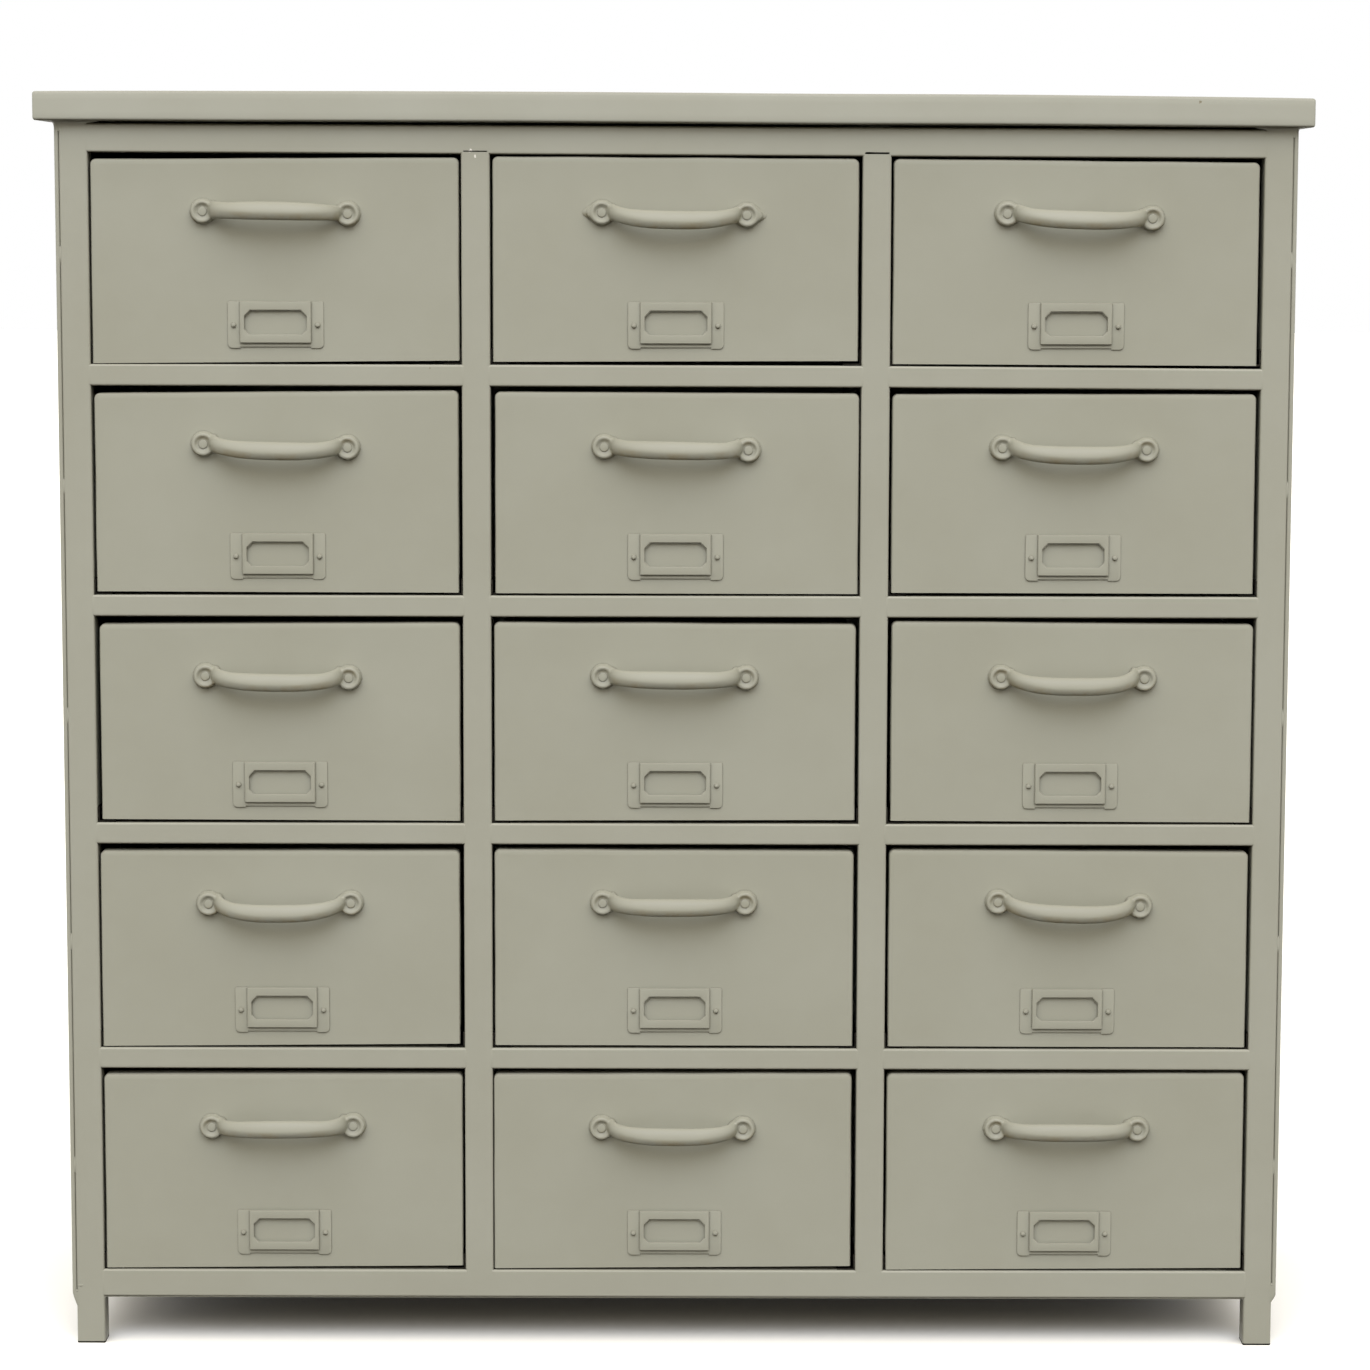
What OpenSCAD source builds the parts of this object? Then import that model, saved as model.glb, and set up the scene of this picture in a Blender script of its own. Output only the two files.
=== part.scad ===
// Steel drawer cabinet: a welded frame of square tube clad in sheet metal,
// with a grid of inset drawers that slide on plain angle runners.
// Millimetres. +X right, +Y into the cabinet, +Z up.
// The origin is on the floor, at the middle of the whole cabinet's outline.

/* [Bays] */
// Clear width of one drawer bay
bay_w = 325; // [240:1:420]
// Clear height of one drawer bay
bay_h = 184; // [150:1:260]
// Rows of drawers
rows = 5; // [2:1:5]

/* [Frame] */
// Outside of the square tube in the posts, stiles, top and bottom rails
tube = 25; // [22:0.5:40]
// Outside of the square tube between two rows
rail_tube = 19; // [15:0.5:25]
// Wall of both tubes
tube_wall = 1.2; // [1:0.1:2]
// Outside corner radius of both tubes
tube_corner = 2; // [1.5:0.1:3]
// Depth over the front and rear posts
frame_d = 380; // [300:1:500]
// Floor to the underside of the bottom rail
leg_h = 43; // [25:1:150]

/* [Panels] */
// Sheet of the side panels
side_sheet = 1.5; // [0.8:0.1:1.8]
// Thickness over a folded hem of the side panels
hem_t = 4; // [3.8:0.1:6]
// Width of the leaf that a hem folds back
hem_w = 14; // [8:0.5:20]
// Height of the side panels' lower edge above the bottom rail's underside
side_lift = 3; // [0:0.5:10]
// Sheet of the back and bottom panels
back_sheet = 1; // [0.6:0.1:2]
// Inset of the bottom panel's edges and of its cut-outs round the posts
bottom_inset = 2; // [1:0.5:5]

/* [Top] */
// Height of the top's folded edge
top_h = 25; // [18:0.5:40]
// Reach of the top past the sides
top_side_reach = 14; // [5:0.5:40]
// Reach of the top past the front
top_front_reach = 10; // [5:0.5:40]
// Sheet of the top
top_sheet = 1.5; // [1:0.1:3]
// Outside bend radius of the top's edges
top_bend = 2.5; // [1.6:0.1:5]
// Rest of the top's lower flange on the frame
top_seat = 12; // [6:0.5:18]

/* [Drawers] */
// Gap at each side of a drawer front
front_side_gap = 3; // [2.4:0.1:5]
// Gap over a drawer front
front_top_gap = 4.5; // [2:0.1:8]
// How far the drawer fronts lie behind the frame's face
front_recess = 1; // [0:0.1:3]
// Sheet of the drawer fronts
front_sheet = 1.2; // [0.8:0.1:1.5]
// Depth of the flanges folded back from a drawer front
front_flange = 15; // [8:0.5:20]
// Corner radius at the top of a drawer front
front_corner = 4; // [2:0.5:10]
// Outside bend radius of a drawer front's edges
front_bend = 2; // [1.6:0.1:3]
// Height of the relief cut at a drawer front's lower corners
relief_h = 16; // [8:0.5:24]
// Sheet of the drawer trays
tray_sheet = 1; // [0.8:0.1:1.4]
// Height of the drawer trays
tray_h = 160; // [60:1:172]
// Inward lip along a tray's upper edges
tray_lip = 8; // [4:0.5:15]
// Gap between a drawer's front and its tray, which are spot welded together
weld_gap = 0.05; // [0.02:0.01:0.1]

/* [Runners] */
// Sheet of the angle runners
runner_sheet = 1.5; // [1:0.1:2]
// Width of the ledge that a drawer slides on
runner_ledge = 16; // [10:0.5:24]
// Height of a runner's upright leg
runner_leg = 14; // [8:0.5:30]
// Gap between a drawer front and the runners' front ends
runner_gap = 0.8; // [0.5:0.1:5]
// Distance from the runners' rear ends to the back panel
runner_end_gap = 2; // [1:0.5:20]

/* [Handles] */
// Distance between a handle's two screws
handle_span = 127; // [90:1:200]
// Height of the screws over the drawer's lower edge
handle_z = 130; // [80:1:135]
// Reach of a handle from the drawer front
handle_reach = 28; // [22:0.5:40]
// Height of the grip at its middle
grip_h = 16; // [10:0.5:20]
// Height of the grip at its two roots
grip_root_h = 13.5; // [8:0.5:14]
// Thickness of the grip at its middle
grip_t = 10; // [7:0.5:14]
// How far the middle of the grip hangs below the screws
grip_drop = 2.5; // [0:0.5:6]
// Height of the soft ridge along the front of the grip
grip_ridge = 1; // [0:0.25:2]
// Diameter of a handle's round eyes
eye_d = 22; // [18:0.5:28]
// Height of the eyes' raised rim
eye_h = 7; // [5.5:0.5:10]
// Diameter of the recess round a screw head
recess_d = 11.5; // [10:0.5:12]
// Metal left under a screw head
eye_floor = 3; // [2:0.5:4]

/* [Screws and rivets] */
// Diameter of the handle screws' heads
screw_head_d = 8.8; // [6.5:0.1:9.4]
// Height of the handle screws' heads
screw_head_h = 1.8; // [1.2:0.1:3]
// Diameter of the handle screws
screw_d = 4; // [3:0.5:5]
// Length of a screw past its nut
screw_end = 1.5; // [0.5:0.5:4]
// Width across the flats of the screws' nuts
nut_af = 7; // [6:0.5:9]
// Thickness of the screws' nuts
nut_h = 3.2; // [2:0.1:5]
// Diameter of the rivets' heads
rivet_head_d = 5.6; // [4.6:0.1:7]
// Height of the rivets' heads
rivet_head_h = 1.8; // [1:0.1:2.5]
// Diameter of the rivets
rivet_d = 3; // [2:0.5:4]
// Height of the rivets' flared tails
rivet_tail_h = 1; // [0.5:0.1:2]
// Radial clearance of the screws and rivets in their holes
hole_gap = 0.3; // [0.1:0.1:0.5]
// Play under the heads of the screws and rivets
head_gap = 0.05; // [0.02:0.01:0.1]

/* [Label holders] */
// Distance between a label holder's two rivets
label_span = 73.5; // [50:0.5:110]
// Height of a label holder at its wings
label_h = 41; // [34:0.5:60]
// Height of a label holder's lower edge over the drawer's lower edge
label_z = 12.5; // [8:0.5:30]
// Sheet of the label holders
label_sheet = 1.2; // [0.6:0.1:1.4]
// Distance from a rivet to the outer edge of its wing
rivet_edge = 5.25; // [4:0.25:10]
// Distance from a rivet to the raised frame
rivet_side = 5.5; // [4:0.25:10]
// Height of the raised frame's lower edge over the wings' lower edge
card_frame_lift = 4.5; // [2:0.5:10]
// Relief of the raised frame over the wings
card_frame_rise = 2.6; // [1.5:0.1:4]
// Width of the raised frame at each side of the window
card_frame_side = 4; // [2:0.5:8]
// Width of the raised frame over and under the window
card_frame_bar = 7.75; // [5:0.25:10]
// Chamfer of the window's corners
window_cut = 5; // [2:0.5:8]
// Corner radius at the lower edge of the wings
wing_corner = 4; // [1:0.5:4]

/* [Feet] */
// Thickness of a foot plug's flange
foot_flange = 1.5; // [1:0.5:4]
// Length of a foot plug inside the tube
foot_plug_h = 14; // [8:1:20]
// Gap between a foot plug and the tube's bore
foot_plug_gap = 0.1; // [0.05:0.05:0.3]
// Wall of a foot plug
foot_plug_wall = 2; // [1.5:0.5:3]

/* [Hidden] */
$fn = 48;
// How far a cutting shape runs past the face that it cuts.
eps = 1;

paint = [0.67, 0.66, 0.59];
rubber = [0.10, 0.10, 0.10];

column_names = ["left", "middle", "right"];
columns = len(column_names);

// Corner radius inside the tubes, which is never quite sharp.
bore_corner_min = 0.4;
bore_corner = max(tube_corner - tube_wall, bore_corner_min);

// Plan of the frame, from the bays outwards.
pitch_x = bay_w + tube;
frame_w = columns * bay_w + (columns + 1) * tube;
body_w = frame_w + 2 * hem_t;
post_x = (frame_w - tube) / 2;
rail_len = frame_w - 2 * tube;
depth_rail_len = frame_d - 2 * tube;

// Levels, from the floor upwards.
pitch_z = bay_h + rail_tube;
bays_z = leg_h + tube;
bays_h = rows * bay_h + (rows - 1) * rail_tube;
frame_top = bays_z + bays_h + tube;

// The handles or the top stand out in front and the back panel ends the outline behind.
front_reach = max(handle_reach - front_recess, top_front_reach);
front_y = (front_reach - frame_d - back_sheet) / 2;
rear_y = front_y + frame_d;
face_y = front_y + front_recess;

// Drawer, measured from its lower edge and from the outside of its front.
front_w = bay_w - 2 * front_side_gap;
front_h = bay_h - runner_sheet - front_top_gap;
pan_w = front_w - 2 * front_sheet;
tray_w = pan_w - 2 * weld_gap;
tray_d = frame_d - front_recess - runner_end_gap - runner_sheet;

// Label holder, outwards and inwards from its rivets.
rivet_z = label_z + label_h / 2;
label_w = label_span + 2 * rivet_edge;
card_frame_w = label_span - 2 * rivet_side;
card_frame_h = label_h - card_frame_lift;
window_w = card_frame_w - 2 * card_frame_side;
window_h = card_frame_h - 2 * card_frame_bar;

runner_y = face_y + front_sheet + runner_gap;
runner_len = rear_y - runner_end_gap - runner_y;

function bay_x(c) = (c - (columns - 1) / 2) * pitch_x;
function stile_x(k) = (k - (columns - 2) / 2) * pitch_x;
function bay_z(r) = bays_z + (rows - 1 - r) * pitch_z;
function drawer_z(r) = bay_z(r) + runner_sheet;

// ---------------------------------------------------------------- shapes

// Rectangle about the origin with rounded corners.
module round_rect(w, h, r) {
    square([w - 2 * r, h], center = true);
    square([w, h - 2 * r], center = true);
    for (x = [-1, 1], y = [-1, 1])
        translate([x * (w / 2 - r), y * (h / 2 - r)]) circle(r);
}

// Square tube along +Z, about the Z axis.
module tube_z(size, length) {
    bore = size - 2 * tube_wall;
    linear_extrude(length)
        difference() {
            round_rect(size, size, tube_corner);
            round_rect(bore, bore, bore_corner);
        }
}

// The same tube along +X or +Y, starting at the origin.
module tube_x(size, length) rotate([90, 0, 90]) tube_z(size, length);
module tube_y(size, length) rotate([-90, 0, 0]) tube_z(size, length);

// Extrudes a front view (x, z) over y = 0 to depth.
module from_front(depth)
    translate([0, depth, 0]) rotate([90, 0, 0]) linear_extrude(depth) children();

// Extrudes a side view (y, z) over x = -width / 2 to width / 2.
module from_side(width)
    translate([-width / 2, 0, 0]) rotate([90, 0, 90]) linear_extrude(width) children();

// ----------------------------------------------------------------- frame

module corner_posts() {
    color(paint)
        for (x = [-post_x, post_x], y = [front_y + tube / 2, rear_y - tube / 2])
            translate([x, y, foot_flange]) tube_z(tube, frame_top - foot_flange);
}

module stiles(y) {
    color(paint)
        for (k = [0 : columns - 2])
            translate([stile_x(k), y, bays_z]) tube_z(tube, bays_h);
}

// A rail along the bottom and one along the top, from post to post.
module long_rails(y) {
    for (z = [leg_h + tube / 2, frame_top - tube / 2])
        translate([-rail_len / 2, y, z]) tube_x(tube, rail_len);
}

module front_rails() {
    color(paint) {
        long_rails(front_y + tube / 2);
        for (c = [0 : columns - 1], r = [0 : rows - 2])
            translate([bay_x(c) - bay_w / 2, front_y + rail_tube / 2, bay_z(r) - rail_tube / 2])
                tube_x(rail_tube, bay_w);
    }
}

module rear_rails() {
    color(paint) long_rails(rear_y - tube / 2);
}

module depth_rails() {
    xs = concat([-post_x, post_x], [for (k = [0 : columns - 2]) stile_x(k)]);
    color(paint)
        for (x = xs, z = [leg_h + tube / 2, frame_top - tube / 2])
            translate([x, front_y + tube, z]) tube_y(tube, depth_rail_len);
}

// ---------------------------------------------------------------- panels

// Bar along Y with half-round ends: the section of a hem.
module stadium(length, width) {
    square([width, length - width], center = true);
    for (y = [-1, 1]) translate([0, y * (length - width) / 2]) circle(width / 2);
}

// Sheet with an open hem along its front and rear edges. The hems lie on the posts.
module side_panel(side) {
    slot = hem_t - 2 * side_sheet;
    cut_w = hem_t - side_sheet + eps;
    z0 = leg_h + side_lift;
    color(paint)
        translate([side * (frame_w + hem_t) / 2, (front_y + rear_y) / 2, z0])
            linear_extrude(frame_top - z0)
                difference() {
                    stadium(frame_d, hem_t);
                    stadium(frame_d - 2 * side_sheet, slot);
                    translate([-side * (side_sheet + eps) / 2, 0])
                        square([cut_w, frame_d - 2 * hem_w], center = true);
                }
}

module back_panel() {
    color(paint)
        translate([-frame_w / 2, rear_y, leg_h])
            cube([frame_w, back_sheet, frame_top - leg_h]);
}

// Lies under the bottom rails and is cut out round the four posts.
module bottom_panel() {
    w = frame_w - 2 * bottom_inset;
    d = frame_d - 2 * bottom_inset;
    cut = tube + bottom_inset;
    color(paint)
        translate([0, (front_y + rear_y) / 2, leg_h - back_sheet])
            linear_extrude(back_sheet)
                difference() {
                    square([w, d], center = true);
                    for (x = [-1, 1], y = [-1, 1])
                        translate([x * frame_w / 2, y * frame_d / 2])
                            square(2 * cut, center = true);
                }
}

// Pan with a folded edge and a lower flange that rests on the frame.
module top_panel() {
    w = body_w + 2 * top_side_reach;
    d = frame_d + back_sheet + top_front_reach;
    flange = top_front_reach + top_seat;
    open_w = frame_w - 2 * top_seat;
    open_d = frame_d - 2 * top_seat;
    color(paint)
        translate([0, front_y - top_front_reach, frame_top])
            difference() {
                intersection() {
                    translate([0, d / 2, 0]) linear_extrude(top_h) round_rect(w, d, top_bend);
                    from_front(d) translate([0, top_h / 2]) round_rect(w, top_h, top_bend);
                    from_side(w) translate([d / 2, top_h / 2]) round_rect(d, top_h, top_bend);
                }
                translate([-w / 2 + top_sheet, top_sheet, top_sheet])
                    cube([w - 2 * top_sheet, d - 2 * top_sheet, top_h - 2 * top_sheet]);
                translate([-open_w / 2, flange, -eps])
                    cube([open_w, open_d, top_sheet + 2 * eps]);
            }
}

// --------------------------------------------------------------- runners

// Angle with an upturned rear end that stops the drawer. The upright leg is on the side given.
module runner(side) {
    leg_x = side * (bay_w / 2 - runner_sheet / 2);
    ledge_x = side * (bay_w / 2 - runner_ledge / 2);
    translate([leg_x - runner_sheet / 2, 0, 0]) cube([runner_sheet, runner_len, runner_leg]);
    translate([ledge_x - runner_ledge / 2, 0, 0]) cube([runner_ledge, runner_len, runner_sheet]);
    translate([ledge_x - runner_ledge / 2, runner_len - runner_sheet, 0])
        cube([runner_ledge, runner_sheet, runner_leg]);
}

module runners(c) {
    color(paint)
        for (r = [0 : rows - 1], side = [-1, 1])
            translate([bay_x(c), runner_y, bay_z(r)]) runner(side);
}

// --------------------------------------------------------------- drawers

// Moves what is drawn on the outside of a drawer front at its lower edge to its bay.
module at_drawer(c, r) translate([bay_x(c), face_y, drawer_z(r)]) children();

// Places a copy at each of two points that lie span apart at height z.
module pair(span, z)
    for (x = [-span / 2, span / 2]) translate([x, 0, z]) children();

// Outline of a drawer front: round upper corners, and lower corners relieved by the sheet's thickness.
module front_outline() {
    translate([-front_w / 2, relief_h])
        square([front_w, front_h - relief_h - front_corner]);
    translate([-pan_w / 2, 0])
        square([pan_w, relief_h + eps]);
    translate([0, front_h - front_corner - eps]) intersection() {
        translate([0, -front_h / 2 + front_corner + eps]) round_rect(front_w, front_h, front_corner);
        translate([-front_w / 2, 0]) square([front_w, front_corner + eps]);
    }
}

// Sheet with flanges folded back along its top and sides.
module front_pan() {
    difference() {
        intersection() {
            from_front(front_flange) front_outline();
            translate([0, front_flange, 0]) linear_extrude(front_h)
                round_rect(front_w, 2 * front_flange, front_bend);
            from_side(front_w) translate([front_flange, 0])
                round_rect(2 * front_flange, 2 * front_h, front_bend);
        }
        translate([-pan_w / 2, front_sheet, -eps])
            cube([pan_w, front_flange, front_h - front_sheet + eps]);
    }
}

// Tray welded between the flanges. The front closes it, and a lip runs round its sides and back.
module tray() {
    inner_w = tray_w - 2 * tray_sheet;
    y0 = front_sheet + weld_gap;
    difference() {
        translate([-tray_w / 2, y0, 0]) cube([tray_w, tray_d - y0, tray_h]);
        translate([-inner_w / 2, y0 - eps, tray_sheet])
            cube([inner_w, tray_d - y0 - tray_sheet + eps, tray_h - 2 * tray_sheet]);
        translate([-inner_w / 2 + tray_lip, y0 - eps, tray_h / 2])
            cube([inner_w - 2 * tray_lip, tray_d - y0 - tray_sheet - tray_lip + eps, tray_h]);
    }
}

// Hole along Y through a sheet whose outside is at y = 0.
module hole_y(d, depth) translate([0, -eps, 0]) rotate([-90, 0, 0]) cylinder(d = d, h = depth + 2 * eps);

// Front and tray of a drawer. The front has holes for the handle's screws and the label holder's rivets.
module drawer(c, r) {
    color(paint) at_drawer(c, r) {
        difference() {
            front_pan();
            pair(handle_span, handle_z) hole_y(screw_d + 2 * hole_gap, front_sheet);
            pair(label_span, rivet_z) hole_y(rivet_d + 2 * hole_gap, front_sheet);
        }
        tray();
    }
}

// ------------------------------------------------------------- fasteners

// Domed head standing out along -Y from y = 0.
module dome(d, h) {
    r = (pow(d / 2, 2) + pow(h, 2)) / (2 * h);
    intersection() {
        translate([0, r - h, 0]) sphere(r);
        rotate([90, 0, 0]) cylinder(d = d, h = h);
    }
}

// Screw through a handle's eye and the drawer front, with its nut inside.
module handle_screw() {
    seat = -eye_floor - head_gap;
    shank = front_sheet + nut_h + screw_end - seat;
    translate([0, seat, 0]) {
        dome(screw_head_d, screw_head_h);
        rotate([-90, 0, 0]) cylinder(d = screw_d, h = shank);
    }
    translate([0, front_sheet, 0]) rotate([-90, 0, 0])
        cylinder(d = nut_af / cos(30), h = nut_h, $fn = 6);
}

// Rivet through a label holder's wing and the drawer front, flared inside.
module label_rivet() {
    seat = -label_sheet - head_gap;
    translate([0, seat, 0]) {
        dome(rivet_head_d, rivet_head_h);
        rotate([-90, 0, 0]) cylinder(d = rivet_d, h = front_sheet - seat);
    }
    translate([0, front_sheet, 0]) rotate([-90, 0, 0])
        cylinder(d1 = rivet_head_d, d2 = rivet_d, h = rivet_tail_h);
}

// --------------------------------------------------------------- handles

grip_steps = 16;
grip_sides = 16;

// The grip's roots lie against the recesses. The power makes the bow a rounded D,
// and the grip is thinner at its roots than at its middle.
root_inset = grip_t / 4;
grip_half = handle_span / 2 - recess_d / 2 - root_inset;
bow_power = 0.72;
root_share = 0.8;
// The ridge fades over and under the grip's middle. A higher power makes it narrower.
ridge_power = 6;

// The angle u runs along the bow from 0 at the left root to 180 at the right one.
function swell(u) = pow(sin(u), 2);
function grip_point(u) = [
    -grip_half * sign(cos(u)) * pow(abs(cos(u)), bow_power),
    -(handle_reach - grip_ridge - grip_t / 2) * pow(max(sin(u), 0), bow_power),
    -grip_drop * swell(u)
];

// The bow's direction seen from above, square to the drawer front at both roots.
function grip_along(u) =
    u == 0 ? [0, -1] :
    u == 180 ? [0, 1] :
    let (step = grip_point(u + 1) - grip_point(u - 1), flat = [step[0], step[1]])
    flat / norm(flat);

// One section of the grip: an ellipse across the bow's own direction, which comes to a ridge in front.
function grip_ring(u) =
    let (
        c = grip_point(u),
        along = grip_along(u),
        out = [along[1], -along[0]],
        half_t = grip_t / 2 * (root_share + (1 - root_share) * swell(u)),
        half_h = (grip_root_h + (grip_h - grip_root_h) * swell(u)) / 2
    )
    [for (k = [0 : grip_sides - 1])
        let (
            a = 360 * k / grip_sides,
            reach = half_t * cos(a) + grip_ridge * swell(u) * pow(max(cos(a), 0), ridge_power)
        )
        [c[0] + out[0] * reach, c[1] + out[1] * reach, c[2] + half_h * sin(a)]];

// Loft through the sections, closed by a fan at each end.
module grip() {
    m = grip_sides;
    n = grip_steps;
    rings = [for (i = [0 : n]) grip_ring(180 * i / n)];
    points = [for (ring = rings) for (p = ring) p];
    side_faces = [
        for (i = [0 : n - 1], k = [0 : m - 1])
            let (a = i * m + k, b = i * m + (k + 1) % m)
            for (face = [[a, b, b + m], [a, b + m, a + m]]) face
    ];
    ends = [[for (k = [m - 1 : -1 : 0]) k], [for (k = [0 : m - 1]) n * m + k]];
    polyhedron(points = points, faces = concat(side_faces, ends), convexity = 4);
}

// Round eye with a rolled rim, standing out along -Y.
module eye() {
    rim_r = (eye_d - recess_d) / 4;
    rim_x = recess_d / 2 + rim_r;
    rotate([90, 0, 0]) rotate_extrude() {
        square([rim_x, eye_floor]);
        translate([rim_x, 0]) square([rim_r, eye_h - rim_r]);
        translate([rim_x - rim_r, 0]) square([rim_r, eye_h - rim_r]);
        translate([rim_x, eye_h - rim_r]) circle(rim_r);
    }
}

// Cast pull: two eyes and a bowed grip, with a recess and a hole for each screw.
module pull() {
    difference() {
        union() {
            pair(handle_span, 0) eye();
            grip();
        }
        pair(handle_span, 0) translate([0, -handle_reach, 0])
            rotate([-90, 0, 0]) cylinder(d = recess_d, h = handle_reach - eye_floor);
        pair(handle_span, 0) translate([0, -eye_floor, 0])
            hole_y(screw_d + 2 * hole_gap, eye_floor);
    }
}

// The pull and its two screws, which stay apart from it.
module handle(c, r) {
    color(paint) at_drawer(c, r) translate([0, 0, handle_z]) {
        pull();
        pair(handle_span, 0) handle_screw();
    }
}

// --------------------------------------------------------- label holders

// How far the strip between the wings is cut up at its lower edge.
wing_waist = 1.5;

// Wings and the strip under the raised frame, seen from the front with the lower edge at z = 0.
module wings_outline() {
    difference() {
        union() {
            translate([0, label_h / 2]) round_rect(label_w, label_h, wing_corner);
            translate([-label_w / 2, label_h / 2]) square([label_w, label_h / 2]);
        }
        translate([-card_frame_w / 2, -eps]) square([card_frame_w, wing_waist + eps]);
    }
}

module window_outline() {
    w = window_w / 2;
    h = window_h / 2;
    polygon([
        [-w, -h + window_cut], [-w + window_cut, -h], [w - window_cut, -h], [w, -h + window_cut],
        [w, h - window_cut], [w - window_cut, h], [-w + window_cut, h], [-w, h - window_cut]
    ]);
}

// Pressed holder: flat wings and a raised frame, open at the top so that a card slides in
// behind the window. Its lower edge is at z = 0 and its back at y = 0.
module holder() {
    rise = label_sheet + card_frame_rise;
    pocket_w = card_frame_w - 2 * label_sheet;
    difference() {
        union() {
            translate([0, -label_sheet, 0]) from_front(label_sheet) wings_outline();
            translate([0, -rise, card_frame_lift]) from_front(rise)
                translate([-card_frame_w / 2, 0]) square([card_frame_w, card_frame_h]);
        }
        translate([-pocket_w / 2, -card_frame_rise, card_frame_lift + label_sheet])
            cube([pocket_w, card_frame_rise + eps, card_frame_h]);
        translate([0, -rise - eps, card_frame_lift + card_frame_h / 2])
            from_front(rise + 2 * eps) window_outline();
        pair(label_span, label_h / 2) translate([0, -label_sheet, 0])
            hole_y(rivet_d + 2 * hole_gap, label_sheet);
    }
}

// The holder and its two rivets, which stay apart from it.
module label_holder(c, r) {
    color(paint) at_drawer(c, r) {
        translate([0, 0, label_z]) holder();
        pair(label_span, rivet_z) label_rivet();
    }
}

// ------------------------------------------------------------------ feet

// Moulded plug: a flange under the tube and a hollow stub pressed up into it.
module foot_plug() {
    stub = tube - 2 * tube_wall - 2 * foot_plug_gap;
    cup = stub - 2 * foot_plug_wall;
    linear_extrude(foot_flange) round_rect(tube, tube, tube_corner);
    translate([0, 0, foot_flange])
        linear_extrude(foot_plug_h)
            difference() {
                round_rect(stub, stub, bore_corner);
                square(cup, center = true);
            }
}

module foot_plugs() {
    color(rubber)
        for (x = [-post_x, post_x], y = [front_y + tube / 2, rear_y - tube / 2])
            translate([x, y, 0]) foot_plug();
}

// ----------------------------------------------------------------- nodes

function node_name(what, c, r) = str(what, "_", column_names[c], "_", r + 1);

corner_posts();
stiles(front_y + tube / 2);  // front_stiles
stiles(rear_y - tube / 2);  // rear_stiles
front_rails();
rear_rails();
depth_rails();
side_panel(-1);  // side_panel_left
side_panel(1);  // side_panel_right
back_panel();
bottom_panel();
top_panel();
foot_plugs();
for (c = [0 : columns - 1]) {
    runners(c);
    for (r = [0 : rows - 1]) {
        drawer(c, r);
        handle(c, r);
        label_holder(c, r);
    }
}
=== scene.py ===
"""The looks of the metal drawer cabinet: thin folded sheet, castings, welds and one grey paint."""

import math

import bmesh
import bpy
import numpy as np
from mathutils import Matrix, Vector, noise


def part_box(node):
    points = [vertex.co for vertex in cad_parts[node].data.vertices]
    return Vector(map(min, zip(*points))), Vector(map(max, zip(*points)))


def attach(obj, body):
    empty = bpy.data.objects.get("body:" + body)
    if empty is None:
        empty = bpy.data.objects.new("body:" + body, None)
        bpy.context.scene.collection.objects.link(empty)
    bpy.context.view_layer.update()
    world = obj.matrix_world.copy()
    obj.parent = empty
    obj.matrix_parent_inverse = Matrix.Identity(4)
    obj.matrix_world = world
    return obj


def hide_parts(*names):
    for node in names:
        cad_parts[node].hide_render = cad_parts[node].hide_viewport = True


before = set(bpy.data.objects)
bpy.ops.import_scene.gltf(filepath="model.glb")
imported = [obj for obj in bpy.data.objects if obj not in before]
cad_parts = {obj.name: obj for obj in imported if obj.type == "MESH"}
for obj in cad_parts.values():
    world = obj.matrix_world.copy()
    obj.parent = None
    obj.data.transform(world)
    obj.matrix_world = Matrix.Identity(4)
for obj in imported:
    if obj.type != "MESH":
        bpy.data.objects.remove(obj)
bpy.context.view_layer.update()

MM = 0.001

# ---------- sizes

COLUMNS = ("left", "middle", "right")
ROWS = (1, 2, 3, 4, 5)

# The nodes that follow the frame's sunken corner, with their slots, and where it sinks: from
# nothing at the first of each pair of places to SAG at the second.
SUNKEN = {
    "corner_posts": "frame", "front_stiles": "frame", "rear_stiles": "frame",
    "front_rails": "frame", "rear_rails": "frame", "depth_rails": "frame",
    "side_panel_right": "panel", "back_panel": "panel",
}
SAG = 3.6 * MM
SUNKEN_ACROSS = (100 * MM, 510 * MM)
SUNKEN_RISE = (720 * MM, 960 * MM)

FRONT_SHEET = 1.2 * MM
FRONT_CORNER = 5 * MM
FRONT_BEND = 2.2 * MM
FRONT_FLANGE = 15 * MM
RELIEF_HEIGHT = 16 * MM
RELIEF_STEP = 0.1 * MM
DENT_DEPTH = 0.45 * MM
DENT_SIZE = 95 * MM
# Dents fade out over this distance from the edges, and push in more than out by this share.
DENT_FADE = 30 * MM
DENT_BIAS = 0.3
EDGE_WAVE = 0.35 * MM
EDGE_WAVE_SIZE = 55 * MM

TRAY_SHEET = 1 * MM
TRAY_HEIGHT = 160 * MM
TRAY_LIP = 8 * MM
TRAY_BEND = 2 * MM
TRAY_TUCK = 0.5 * MM

TOP_SHEET = 1.5 * MM
TOP_BEND = 2.5 * MM
TOP_SEAT = 12 * MM
TOP_LEFT_RISE = 1.9 * MM
TOP_RIGHT_RISE = -2.0 * MM
TOP_LEFT_REACH = 3 * MM
TOP_RIGHT_REACH = -1.2 * MM
TOP_CROWN = 2.0 * MM
TOP_UNDER_CROWN = 0.8 * MM
TOP_DIP = 0.4 * MM
TOP_WAVE = 0.5 * MM
TOP_WAVE_SIZE = 230 * MM
TOP_EDGE_FADE = 20 * MM
# How far in the rings of the flat face lie.
TOP_INSETS = (20 * MM, 70 * MM, 130 * MM, 190 * MM)

# A turned shape ends at this radius, next to its axis.
AXIS_GAP = 0.1 * MM

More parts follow.
